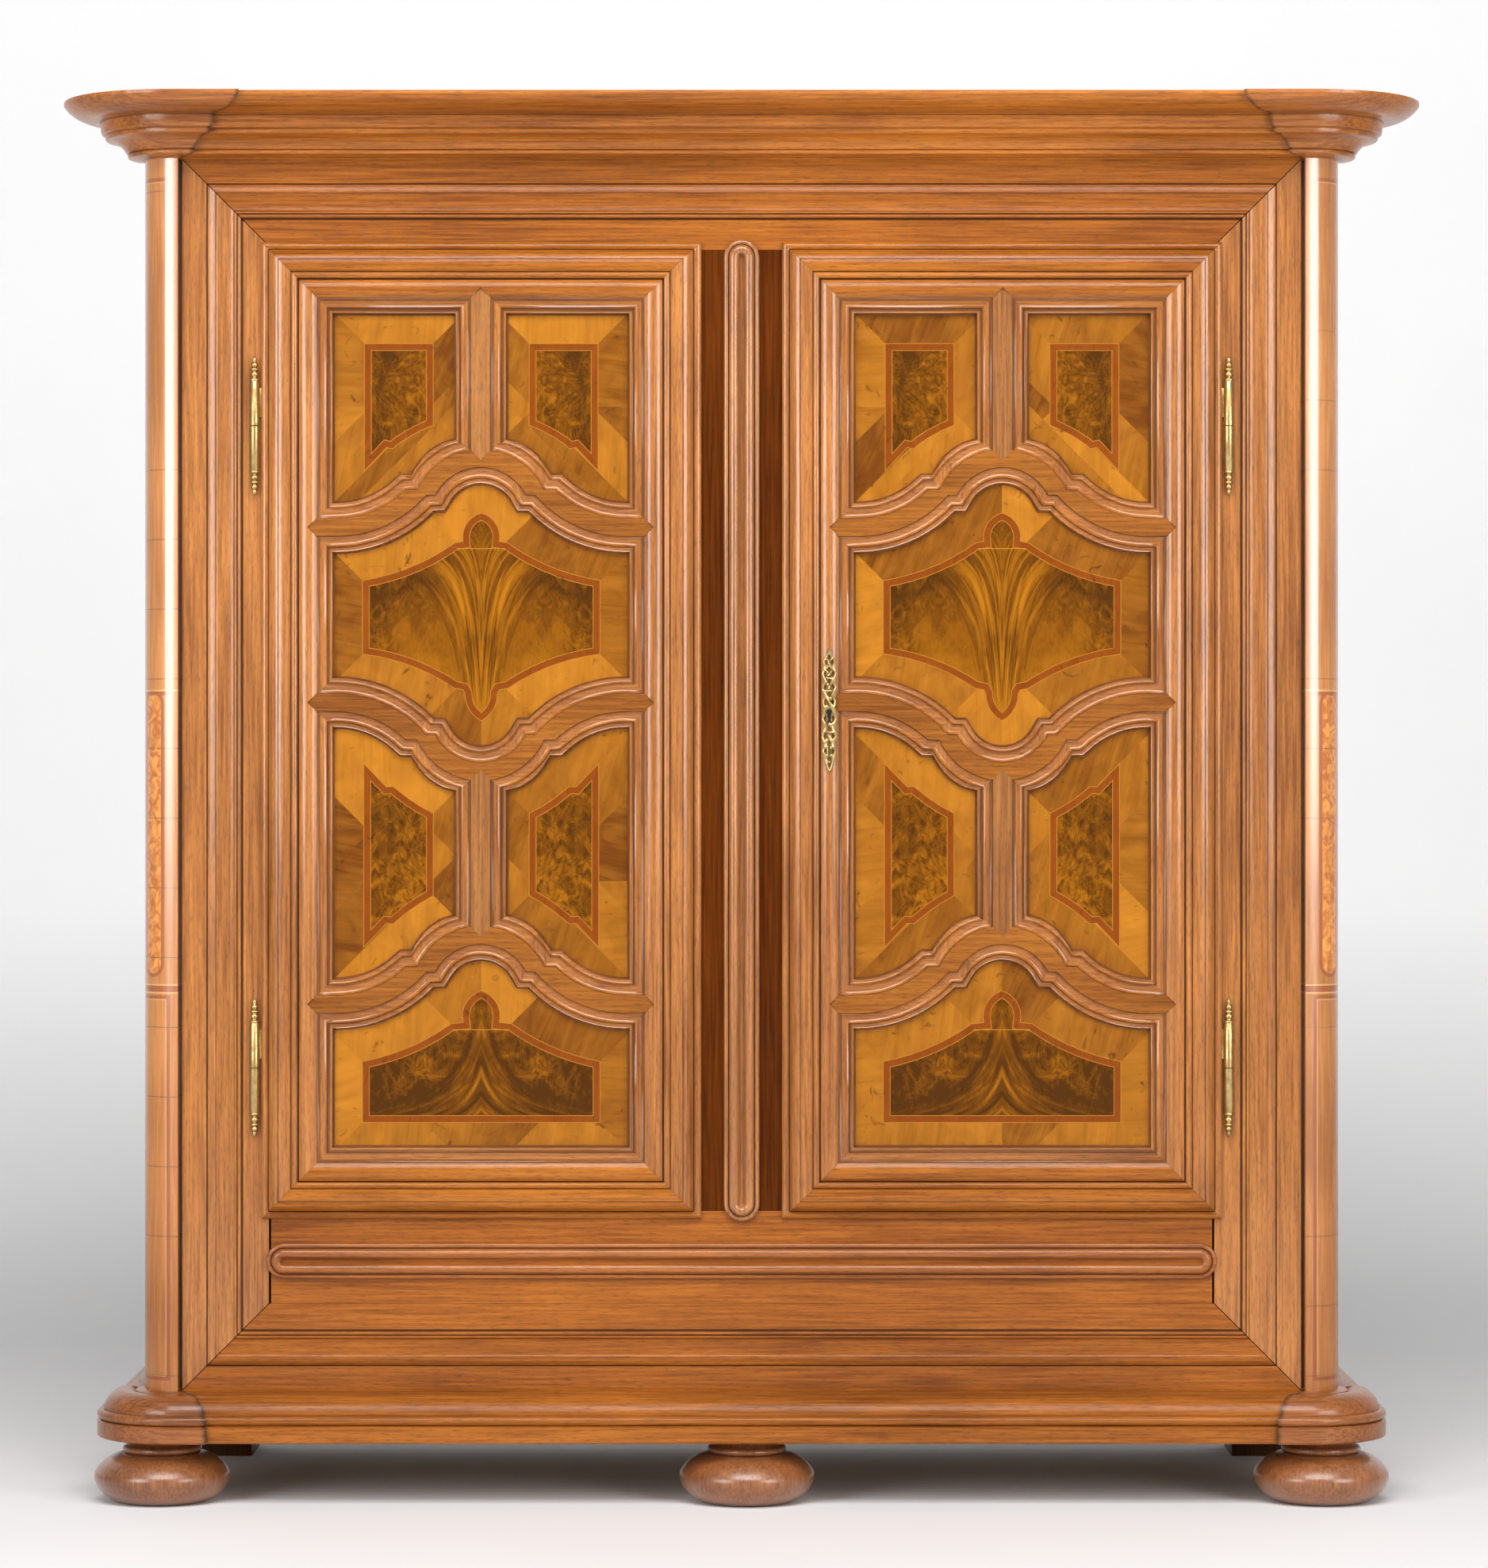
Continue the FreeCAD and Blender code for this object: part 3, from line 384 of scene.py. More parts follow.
def moulded_corner(name, outline, base, slope, reach, turn=0):
    """Quarter round about the right-hand column with a short arm along the front. It has a like
    arm along the side, or curves on past it by the angle of the turn."""
    arm = arm_spare + slope * reach
    piece = drawn_section(name, outline, Vector((axis.x - arm, front_y, base)), -back, up)
    pull(right * arm)
    bpy.ops.mesh.spin(steps=round_steps, angle=-math.pi / 2 - turn, center=axis, axis=up)
    if not turn:
        pull(back * arm)
        saw_off((side_x, axis.y + joint_inset, base), (-slope, 1, 0))
    saw_off((axis.x - joint_inset, front_y, base), (-1, slope, 0))
    return close_up(piece)


def side_runs(name, outline, base, cut, waste):
    """The straight runs along both sides, sawn to the joints with the corner blocks."""
    run = drawn_section(name + "_side_runs", outline, Vector((side_x, axis.y, base)), right, up)
    pull(back * (rear_y - axis.y))
    saw_off((*cut, base), waste)
    close_up(run)
    return join(run, mirror_copy(run, name + "_left_run"))


def front_run(name, outline, base, slope, setback, gap):
    """The straight run along the front, sawn to the joints with the corner blocks."""
    run = drawn_section(name, [(p - setback, z) for p, z in outline],
                        Vector((-axis.x, front_y, base)), -back, up)
    pull(right * 2 * axis.x)
    for side in (1, -1):
        saw_off((side * (axis.x - joint_inset - gap), front_y, base), (side, -slope, 0))
    return close_up(run)


column_radius, joint_inset, arm_spare, side_gap = 0.056, 0.007, 0.008, 0.0012
round_steps = 24
column_low, column_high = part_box("corner_column_right")
front_y, side_x, rear_y = column_low.y, column_high.x, cad_box[1].y
axis = Vector((side_x - column_radius, front_y + column_radius, 0))

# A dark band along the ragged joint between a corner block and the front run, darkest at the joint.
dark_joint_band, given, result = new_group(
    "dark_joint_band", {"Vector": "Vector", "Color": "Color", "Slope": "Float"}, {"Color": "Color"})
joint_band_brown = (0.025, 0.009, 0.002)
x, y, _ = parts(given["Vector"])
across = plus(unsigned(x), times(minus(front_y, y), given["Slope"]))
near = unsigned(minus(across, axis.x - joint_inset))
ragged = times(streaks(given["Vector"], (60, 60, 60), 4.0), 0.012)
joint_darkening = times(ramp(plus(near, ragged), 0.0135, 0.006), 0.9)
feed(result, {"Color": tint(joint_darkening, given["Color"], joint_band_brown)})


def darken_joint(finish, slope):
    """Lays the dark joint band over a finish that is already made."""
    surface = finish.node_tree.nodes["Principled BSDF"]
    undarkened = surface.inputs["Base Color"].links[0].from_socket
    spot = put("ShaderNodeTexCoord", {}, finish.node_tree).outputs["Object"]
    darkened = place_group(dark_joint_band, {"Vector": spot, "Color": undarkened, "Slope": slope})
    feed(surface, {"Base Color": darkened["Color"]})


oak_light, oak_dark = (0.41, 0.131, 0.017), (0.165, 0.0425, 0.0045)
plinth_oak = oak("plinth_oak", along_x, oak_light, oak_dark, 0.1, 0.2)
plinth_side_oak = oak("plinth_side_oak", along_y, oak_light, oak_dark, 0.2)
corner_oak = oak(
    "plinth_block_oak", along_x, (0.3846, 0.1254, 0.0284), (0.1459, 0.0396, 0.0079), 0.4)
plinth_slope, plinth_setback, plinth_reach, plinth_gap = 0.6, 9, 0.072, 0.002
for finish in (plinth_oak, corner_oak):
    darken_joint(finish, plinth_slope)
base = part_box("plinth_front")[0].z
profile = moulding(
    (-20, 0), (70, 0), (72, 2), (72, 24), (71, 25), (66, 26.5), (66, 41, -6, 7), (62, 41), (62, 44),
    (14, 66, -13, 10), (14, 68), (6, 71), (-20, 71))
plinth_front = front_run(
    "plinth_front_run", profile, base, plinth_slope, plinth_setback, plinth_gap)
plinth_sides = side_runs("plinth", [(p - plinth_setback, z) for p, z in profile], base,
                         (side_x, axis.y + joint_inset + side_gap), (plinth_slope, -1, 0))
profile[0], profile[-1] = (-50, 0), (-50, 71)
plinth_corner = moulded_corner(
    "plinth_corner_block_right", profile, base, plinth_slope, plinth_reach)
fit(plinth_front, "case", "oak_moulding", plinth_oak, "plinth_front")
fit(plinth_sides, "case", "oak_side", plinth_side_oak, "plinth_sides")
fit_pair(plinth_corner, "plinth_corner_block_left", ("case", "case"), "oak_corner", corner_oak,
         ("plinth_corner_right", "plinth_corner_left"))


# Corner columns: quarter-round softwood posts faced with walnut veneer. Red bands between pale
# lines frame a long field above and below, and a rounded field of burr lies between them. Low
# down the colour is darkened as painted shade and the coat is thinned. Arc is the way round from
# the middle of the quarter round.
def column_veneer():
    finish, surface, spot = new_finish("column_veneer")
    x, y, height = parts(spot)
    out, deep = minus(unsigned(x), axis.x), minus(axis.y, y)
    angle = minus(reckon("ARCTAN2", out, deep), math.pi / 4)
    arc = times(unsigned(angle), column_radius)

    def within(value, low, high, soft=0.0003):
        """1 between two levels and 0 outside them."""
        return times(ramp(value, low - soft, low + soft), ramp(value, high + soft, high - soft))

    def past_end(middle, half):
        """How far above or below the ends of a field."""
        return minus(unsigned(minus(height, middle)), half)

    def greatest(first, *others):
        for other in others:
            first = reckon("MAXIMUM", first, other)
        return first

    burr_field, upper_field, lower_field = (1.01, 0.195), (1.61, 0.385), (0.475, 0.285)
    burr_half, field_half, band, line = 0.016, 0.026, 0.006, 0.0014
    past = greatest(past_end(*burr_field), 0.0)
    way = reckon("SQRT", plus(times(past, past), times(arc, arc)))
    rounded = minus(way, burr_half)
    beside = minus(arc, field_half)
    upper, lower = (greatest(past_end(*field), beside) for field in (upper_field, lower_field))
    blocks = streaks(spot, (5, 5, 5), 1.0)
    grain = streaks(spot, (220, 220, 9), 3.0)
    tone = ramp(plus(blocks, grain), 0.75, 1.25)
    colour = tint(tone, (0.4, 0.138, 0.026), (0.6, 0.235, 0.06))
    burr = ramp(streaks(spot, (70, 70, 60), 5.0, 1.5), 0.4, 0.62)
    burr = tint(burr, (0.5, 0.142, 0.018), (0.84, 0.33, 0.066))
    colour = tint(within(rounded, -1.0, 0.0), colour, burr)
    red = greatest(
        within(rounded, 0.001, band), within(upper, 0.0, band), within(lower, 0.0, band),
        within(height, 0.771, 0.78))
    colour = tint(times(red, 0.8), colour, (0.33, 0.075, 0.012))
    pale = greatest(
        within(height, 0.7805, 0.7825), within(height, 1.2255, 1.2275),
        within(height, 0.7685, 0.7705), within(upper, -line, 0.0, 0.0002),
        within(lower, -line, 0.0, 0.0002))
    colour = tint(times(pale, 0.6), colour, (0.84, 0.52, 0.2))
    leaf = reckon("FRACT", times(plus(height, 0.02), 9.5))
    joint = times(within(leaf, 0.0, 0.012, 0.004), ramp(blocks, 0.4, 0.5))
    colour = tint(times(joint, 0.8), colour, (0.16, 0.045, 0.008))
    # Painted shade: towards the bottom the veneer is darkened and its coat thinned.
    shade_low = ramp(height, 0.75, 0.3)
    colour = tint(shade_low, colour, (0.75, 0.7, 0.65), "MULTIPLY")
    feed(surface, {
        "Base Color": colour, "Normal": bumps(grain, 0.05, 0.0004),
        "Roughness": ramp(grain, 0.3, 0.7, 0.2, 0.32),
        "Coat Weight": ramp(shade_low, 0.0, 1.0, 1.0, 0.12), "Coat Roughness": 0.2, "Coat IOR": 1.8})
    return finish


dress(column_veneer(), "corner_column_left", "corner_column_right")


# Sides, back and floor: framed oak sides with raised panels between rails and stiles,
# nailed softwood boards for the back, the floor and the dust cover, left rough from the plane.
side_oak = oak("side_oak", along_z, (0.38, 0.1292, 0.0228), (0.2204, 0.0646, 0.0099))
side_rail_oak = oak("side_rail_oak", along_y, (0.38, 0.1254, 0.0213), (0.2204, 0.0623, 0.0091))
pine_light, pine_dark = (0.38, 0.228, 0.0988), (0.2508, 0.1292, 0.0456)
pine_upright = oak("pine_upright", along_z, pine_light, pine_dark, 0.0)
pine_across = oak("pine_across", along_x, pine_light, pine_dark, 0.0)
dress(side_oak, "side_panels_left", "side_panels_right", "rear_stiles")
dress(side_rail_oak, "side_rails_left", "side_rails_right")
dress(pine_upright, "back_boards")
dress(pine_across, "floor_boards", "plinth_back")


# Front frame: two stiles, a frieze rail and a deep bottom rail of oak, one moulded section
# mitred at all four corners. The mitres have opened to a dark line with age.
# The bottom rail has a plain board above its moulding, with a slit beside each stile.
def mitred(name, outline, gap, corner, across, along, length):
    """A moulded length of a frame, mitred away on its inner side at both ends."""
    piece = drawn_section(name, outline, corner, across, -back)
    pull(along * length)
    saw_off(corner + along * gap, across - along)
    saw_off(corner + along * (length - gap), across + along)
    return close_up(piece)


def eased_board(middle, size, ease, smooth=30):
    """A plain board or plate with its edges eased."""
    bpy.ops.object.select_all(action="DESELECT")
    bpy.ops.mesh.primitive_cube_add(size=1, location=middle, scale=size)
    board = bpy.context.object
    bpy.ops.object.transform_apply()
    bpy.ops.object.mode_set(mode="EDIT")
    bpy.ops.mesh.bevel(offset=ease, segments=2)
    return close_up(board, smooth)


stile_oak = oak("stile_oak", along_z, (0.5, 0.19, 0.042), (0.21, 0.064, 0.012), 0.6, 0.25, 0.14)
rail_oak = oak("rail_oak", along_x, (0.415, 0.126, 0.012), (0.178, 0.0445, 0.0035), 0.2, 0.2)
frame_face = moulding(
    (0, 0), (36.4, 0), (36.6, -2.6), (38.4, -2.6), (38.6, 1.2), (50.5, 4.4, 0.6, 6), (50.7, 2.6),
    (56, 0.6, -0.6, 4), (76, 1.2, -0.4, 4), (79.4, 4.4, -0.5, 4), (82.4, 4.4, 0.8, 5), (82.6, 2.8),
    (83.6, 2.8), (83.8, 3.6), (88.8, 3.4, 1.9, 6), (89, -1.2), (91.8, -1.2), (92.1, 0))
frame_thick, stile_wide, frieze_wide = 30, 131, 137
mitre_gap, slit = 0.0009, 0.0032
face_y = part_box("base_strip")[1].y
stile_low, stile_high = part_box("front_stile_right")
stile_x, frame_low, frame_high = stile_high.x, stile_low.z, stile_high.z
low_corner, high_corner = (Vector((-stile_x, face_y, z)) for z in (frame_low, frame_high))
stile_section, frieze_section = (
    frame_face + [(wide, 0), (wide, -frame_thick), (0, -frame_thick)]
    for wide in (stile_wide, frieze_wide))
stile = mitred(
    "moulded_stile_left", stile_section, mitre_gap, low_corner, right, up, frame_high - frame_low)
frieze = mitred("moulded_frieze", frieze_section, mitre_gap, high_corner, -up, right, 2 * stile_x)
bottom = mitred("moulded_bottom_rail", stile_section, mitre_gap, low_corner, up, right, 2 * stile_x)
board_half = stile_x - stile_wide * mm - slit
board_low, board_top = frame_low + stile_wide * mm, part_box("bottom_rail")[1].z
board = eased_board(
    (0, face_y + frame_thick * mm / 2, (board_low + board_top) / 2),
    (2 * board_half, frame_thick * mm, board_top - board_low), ease=0.0008, smooth=15)
bottom = join(bottom, board)
fit_pair(stile, "moulded_stile_right", ("case", "case"), "oak_upright", stile_oak,
         ("front_stile_left", "front_stile_right"))
fit(frieze, "case", "oak_across", rail_oak, "frieze_rail")
fit(bottom, "case", "oak_across", rail_oak, "bottom_rail")


# Centre post and strips: a plain fixed post stands behind the doors' meeting edges.
# A half-round strip of two reeds beside a hollow is nailed to it, and a like strip to the
# bottom rail. Their rims run round the rounded ends.
def fluted_strip(name, node, side, along):
    """Half of the section, swept up one side, round the end, down and round again."""
    low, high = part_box(node)
    middle = Vector((0, face_y, (low.z + high.z) / 2))
    straight = (high - low).dot(along) / 2 - strip_half[-1][0] * mm
    start = middle - along * straight
    piece = drawn_section(name, strip_half, start, side, -back, closed=False)
    for way, centre in ((along, middle + along * straight), (-along, start)):
        pull(way * 2 * straight)
        bpy.ops.mesh.spin(steps=round_steps, angle=-math.pi, center=centre, axis=side.cross(along))
    bpy.ops.mesh.select_all(action="SELECT")
    bpy.ops.mesh.remove_doubles(threshold=2e-5)
    bpy.ops.mesh.select_all(action="DESELECT")
    bpy.ops.mesh.select_non_manifold()
    bpy.ops.mesh.edge_face_add()
    return close_up(piece)


strip_oak = oak("strip_oak", along_z, (0.5, 0.2, 0.055), (0.215, 0.068, 0.015), 1.0)
strip_rail_oak = oak(
    "strip_rail_oak", along_x, (0.4514, 0.1463, 0.0251), (0.1946, 0.0509, 0.0079), 0.5)
# Painted shade: the post is coloured very dark, for the shade in the recess between the doors.
shaded_post_oak = oak("shaded_post_oak", along_z, (0.135, 0.031, 0.0018), (0.05, 0.0095, 0.0006), 0.0, 0.06)
strip_half = moulding(
    (0, 5), (5, 13.2, -1.4, 5), (18.6, 12, 4.4, 9), (18.8, 6.6), (20.2, 6.6), (20.4, 8.4),
    (27, 5.4, 2.2, 6), (27, 0))
post_strip = fluted_strip("fluted_post_strip", "centre_strip", right, up)
rail_strip = fluted_strip("fluted_rail_strip", "base_strip", -up, right)
fit(post_strip, "case", "oak_upright", strip_oak, "centre_strip")
fit(rail_strip, "case", "oak_across", strip_rail_oak, "base_strip")
dress(shaded_post_oak, "centre_post")


# Door frames: stiles and rails of oak with one bold lipped moulding, mitred at the corners.
# The lip laps over the front frame. Square notches turned on their corner take the pointed
# tips of the arched rails and of the muntin.
def cut_away(piece, cutter):
    """Cuts a shape out of a piece and drops the cutter."""
    take_up(piece)
    cut = piece.modifiers.new("cut", "BOOLEAN")
    cut.operation = "DIFFERENCE"
    cut.solver = "EXACT"
    cut.object = cutter
    bpy.ops.object.modifier_apply(modifier="cut")
    bpy.data.objects.remove(cutter)


def notch(piece, x, z, half):
    """Cuts a square notch, standing on its corner, through the piece."""
    side = half * math.sqrt(2)
    bpy.ops.object.select_all(action="DESELECT")
    bpy.ops.mesh.primitive_cube_add(
        size=1, location=(x, face_y, z), rotation=(0, math.pi / 4, 0),
        scale=(side, chisel_long, side))
    cut_away(piece, bpy.context.object)


door_section = moulding(
    (0, 0.5), (0, 5.5), (10.5, 8, 2.4, 7), (10.7, 6.6), (11.7, 6.6), (11.9, 8),
    (26.8, 27.2, 4.8, 10), (27, 26.2), (27.8, 26.2), (28, 27.2), (44, 27.6, 0.9, 5), (45.8, 25.8),
    (46, 24), (47, 24), (47.2, 25), (55.8, 24.6, 2.4, 7), (56, 19.6), (58.2, 19.6), (58.5, 21.4),
    (84, 21.2, 4.6, 11), (85, 20.8), (85, -28), (13, -28), (13, 0.5))
door_mitre_gap, member_wide, chisel_long = 0.0002, 0.085, 0.2
shoulders, shoulder_notch, muntin_notch = (0.753, 1.208, 1.472), 0.0136, 0.0148
stile_low, stile_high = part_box("left_hinge_stile")
door_low = Vector((stile_low.x, face_y, stile_low.z))
door_high = Vector((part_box("left_meeting_stile")[1].x, face_y, stile_high.z))
door_x = (door_low.x + door_high.x) / 2
door_tall, door_wide = door_high.z - door_low.z, door_high.x - door_low.x
hinge_stile, meeting_stile, top_rail, low_rail = (
    mitred("left_moulded_" + name, door_section, door_mitre_gap, corner, across, along, length)
    for name, corner, across, along, length in (
        ("hinge_stile", door_low, right, up, door_tall),
        ("meeting_stile", Vector((door_high.x, face_y, door_low.z)), -right, up, door_tall),
        ("top_rail", Vector((door_low.x, face_y, door_high.z)), -up, right, door_wide),
        ("bottom_rail", door_low, up, right, door_wide)))
for z in shoulders:
    notch(hinge_stile, door_low.x + member_wide, z, shoulder_notch)
    notch(meeting_stile, door_high.x - member_wide, z, shoulder_notch)
notch(top_rail, door_x, door_high.z - member_wide, muntin_notch)
door_stile_oak = oak(
    "door_stile_oak", along_z, (0.53, 0.202, 0.049), (0.226, 0.07, 0.0135), 0.8, 0.2, 0.15)
door_rail_oak = oak(
    "door_rail_oak", along_x, (0.46, 0.15, 0.015), (0.22, 0.058, 0.005), 0.35, 0.15, 0.15)
doors = ("left_door", "right_door")
for piece, finish, slot, node, other_node in (
        (hinge_stile, door_stile_oak, "oak_upright", "hinge_stile", "hinge_stile"),
        (meeting_stile, door_stile_oak, "oak_upright", "meeting_stile", "lock_stile"),
        (top_rail, door_rail_oak, "oak_across", "top_rail", "top_rail"),
        (low_rail, door_rail_oak, "oak_across", "bottom_rail", "bottom_rail")):
    fit_pair(piece, "right_moulded_" + other_node, doors, slot, finish,
             ("left_" + node, "right_" + other_node))


# Arched rails and muntins: flat oak bars sawn to a serpentine line, with notched shoulders
# and mitred tips, let into the door's frame.
bar_oak = oak(
    "arched_bar_oak", along_x, (0.37, 0.125, 0.015), (0.158, 0.043, 0.0045), 0.4, 0.15, 0.14)
muntin_oak = oak("muntin_oak", along_z, (0.41, 0.165, 0.042), (0.19, 0.062, 0.013), 0.5, 0.25)
dress(bar_oak, "left_serpentine_rails", "right_serpentine_rails")
dress(muntin_oak, "left_muntins", "right_muntins")


# Panel mouldings: a bold round and a small bead of oak, mitred into each of the six openings
# of a door, to hold the inlaid panels. They follow the arches and their notched shoulders,
# and the grain follows each run.
def pick(piece, test):
    """Selects the faces of a piece in edit mode that pass a test of middle and normal."""
    bpy.ops.mesh.select_mode(type="FACE")
    bpy.ops.mesh.select_all(action="DESELECT")
    mesh = bmesh.from_edit_mesh(piece.data)
    mesh.normal_update()
    for face in mesh.faces:
        if test(face.calc_center_median(), face.normal):
            face.select_set(True)
    bmesh.update_edit_mesh(piece.data)


def faces_front(middle, normal):
    return normal.y < -0.9


def mark_faces(piece, name, values):
    """Keeps a value for each face, for the finish to read."""
    layer = piece.data.attributes.new(name, "FLOAT", "FACE")
    layer.data.foreach_set("value", values)


def mark_runs(piece):
    """Marks the faces whose moulding runs across rather than upright, by their longest edge."""
    marks = []
    for face in piece.data.polygons:
        points = [piece.data.vertices[i].co for i in face.vertices]
        edges = [there - here for here, there in zip(points, points[1:] + points[:1])]
        run = max(edges, key=lambda edge: edge.length)
        marks.append(float(abs(run.x) > abs(run.z)))
    mark_faces(piece, "across", marks)


ring_face = moulding(
    (24.7, 20), (24.3, 20), (24.1, 20.6), (9.6, 20.4, 3.8, 9), (9.4, 17.8), (8.7, 17.6),
    (8.5, 18.4), (1.9, 15.6, 2, 7), (1.4, 12), (0.8, 6.15), (-1.2, 6.05), (-1.4, 6.3))
ring_back, ring_edge, opening_depth = 0.0165, 0.014, 0.0225
veneer_lift, veneer_thick = 0.0003, 0.0005
lines = bpy.data.objects.new("left_opening_lines", cad["left_panel_mouldings"].data.copy())
bpy.context.scene.collection.objects.link(lines)
work_on(lines)
bpy.ops.mesh.remove_doubles(threshold=1e-5)
bpy.ops.mesh.select_mode(type="VERT")
bpy.ops.mesh.select_all(action="DESELECT")
mesh = bmesh.from_edit_mesh(lines.data)
for point in mesh.verts:
    point.select_set(abs(point.co.y - (face_y - opening_depth)) > 5e-5)
bmesh.update_edit_mesh(lines.data)
bpy.ops.mesh.delete(type="VERT")
bpy.ops.mesh.select_all(action="SELECT")
bpy.ops.mesh.separate(type="LOOSE")
bpy.ops.object.mode_set(mode="OBJECT")
openings = list(bpy.context.selected_objects)
rings, sheets = [], []
for ring in openings:
    work_on(ring)
    bpy.ops.mesh.edge_face_add()
    bpy.ops.transform.translate(value=back * ring_back)
    pull(-back * ring_edge)
    face_out()
    pick(ring, faces_front)
    for (d0, p0), (d1, p1) in zip(ring_face, ring_face[1:]):
        bpy.ops.mesh.inset(thickness=(d0 - d1) * mm, depth=(p1 - p0) * mm)
    bpy.ops.mesh.duplicate_move(TRANSFORM_OT_translate={"value": -back * veneer_lift})
    before = set(bpy.data.objects)
    bpy.ops.mesh.separate(type="SELECTED")
    sheets += [made for made in bpy.data.objects if made not in before]
    rings.append(close_up(ring))
ring_oak = oak(
    "panel_moulding_oak", along_z, (0.46, 0.165, 0.032), (0.22, 0.064, 0.01), 0.9, 0.12, 0.12)
quarter_turn = times(attribute(ring_oak.node_tree, "across"), math.pi / 2)
turn = put("ShaderNodeCombineXYZ", {1: quarter_turn}).outputs[0]
feed(ring_oak.node_tree.nodes["grain"], {"Rotation": turn})
rings = join(*rings)
rings.name = rings.data.name = "left_round_mouldings"
mark_runs(rings)
fit_pair(rings, "right_round_mouldings", doors, "oak_moulding", ring_oak,
         ("left_panel_mouldings", "right_panel_mouldings"), shade_and_wax=0.96)


# Inlaid panels: each is a pine board faced with honey walnut laid in mitred pieces of changing
# tone. A red band between pale lines frames a field of dark figured walnut, cut from one
# block and opened like a book about the middle of the door.
def cut_seam(sheet, start, end, test):
    """Cuts the veneer along a straight line, in the pieces whose middles pass the test."""
    pick(sheet, lambda middle, normal: test((middle.x - door_x) / mm, middle.z / mm))
    along = Vector((end[0] - start[0], 0, end[1] - start[1]))
    bpy.ops.mesh.bisect(
        plane_co=(door_x + start[0] * mm, 0, start[1] * mm), plane_no=along.cross(back))


def cut_seams(sheet, *groups):
    """Cuts like seams to the left and right of the middle, each from end to end. The pieces that
    a group of seams cuts lie further out than a width and between two heights."""
    for side in (-1, 1):
        for width, low, high, *seams in groups:
            for x0, z0, x1, z1 in seams:
                cut_seam(sheet, (side * x0, z0), (side * x1, z1),
                         lambda x, z: side * x > width and low < z < high)


def set_tones(sheet):
    """Gives each piece of veneer a tone of its own and lays its grain across the border."""
    tones, turns = [], []
    for face in sheet.data.polygons:
        x, z = abs(face.center.x) + (right_shift if face.center.x > 0 else 0.0), face.center.z
        chance = math.sin(x * stir_x + z * stir_z) * stir
        tones.append(chance - math.floor(chance))
        beside = abs(abs(abs(face.center.x) - abs(door_x)) - border_x) < border_half
        turns.append((0.0 if beside else cross_turn) + turn_spread * (tones[-1] - 0.5))
    mark_faces(sheet, "tone", tones)
    mark_faces(sheet, "turn", turns)


right_shift, stir_x, stir_z, stir = 0.37, 127.1, 311.7, 43758.5
border_x, border_half, cross_turn, turn_spread = 0.2, 0.025, 1.35, 0.5
sheets = join(*sheets)
sheets.name = sheets.data.name = "left_border_veneers"
work_on(sheets)
cut_seams(
    sheets,
    (20, 1540, 2000, (177, 1751, 222, 1794), (72, 1751, 40, 1783), (72, 1626, 39, 1640),
     (177, 1556, 222, 1512)),
    (180, 1560, 2000, (180, 1655, 222, 1655)),
    (20, 830, 1140, (178, 1117, 222, 1168), (178, 835, 222, 790), (72, 1041, 40, 1074),
     (72, 916, 40, 884)),
    (180, 880, 1120, (180, 1078, 222, 1078)), (180, 830, 1120, (180, 938, 222, 938)))
cut_seam(sheets, (0, 500), (0, 900), lambda x, z: abs(x) < 20 and z < 800)
cut_seam(sheets, (0, 1100), (0, 1600), lambda x, z: abs(x) < 20 and 1200 < z < 1500)
cut_seams(
    sheets,
    (0, 1150, 1540, (180, 1393, 222, 1435), (180, 1281, 222, 1239), (38, 1451, 70, 1490),
     (38, 1228, 70, 1190)),
    (0, 0, 830, (180, 666, 222, 705), (180, 573, 222, 538), (47, 724, 80, 780)))
pick(sheets, lambda middle, normal: True)
pull(back * veneer_thick)
close_up(sheets)

# Walnut in laid pieces: each face has its own tone and its own turn of the grain.
laid_pieces, given, result = new_group(
    "laid_pieces", {"Vector": "Vector", "Dark": "Color", "Light": "Color", "Spread": "Float"},
    {"Color": "Color", "Roughness": "Float", "Height": "Float"})
knot_brown = (0.06, 0.017, 0.001)
laid = put("ShaderNodeVectorRotate", {
    "Vector": given["Vector"], "Axis": (0, 1, 0),
    "Angle": attribute(laid_pieces, "turn")}).outputs[0]
grain = streaks(laid, (9, 90, 150), 4.0, 0.6)
cloud = streaks(laid, (13, 30, 22), 5.0, 1.2)
knots = ramp(streaks(given["Vector"], (30, 30, 30), 5.0, 2.0), 0.64, 0.74)
level = times(minus(attribute(laid_pieces, "tone"), 0.5), given["Spread"])
level = plus(level, plus(times(cloud, 0.6), times(grain, 0.3)))
colour = tint(ramp(level, 0.13, 0.83), given["Dark"], given["Light"])
feed(result, {
    "Color": tint(times(knots, 0.7), colour, knot_brown),
    "Roughness": ramp(grain, 0.3, 0.7, 0.26, 0.4), "Height": grain})


def veneer(name, dark, light, spread):
    """Polished walnut or fruit wood, whose laid pieces differ by the spread."""
    finish, surface, spot = new_finish(name)
    laid = place_group(laid_pieces, {
        "Vector": spot, "Dark": dark, "Light": light, "Spread": spread})
    feed(surface, {
        "Base Color": laid["Color"], "Roughness": laid["Roughness"],
        "Normal": bumps(laid["Height"], 0.06, 0.0004), "Specular IOR Level": 0.15,
        "Coat Weight": 0.15, "Coat Roughness": 0.16})
    return finish


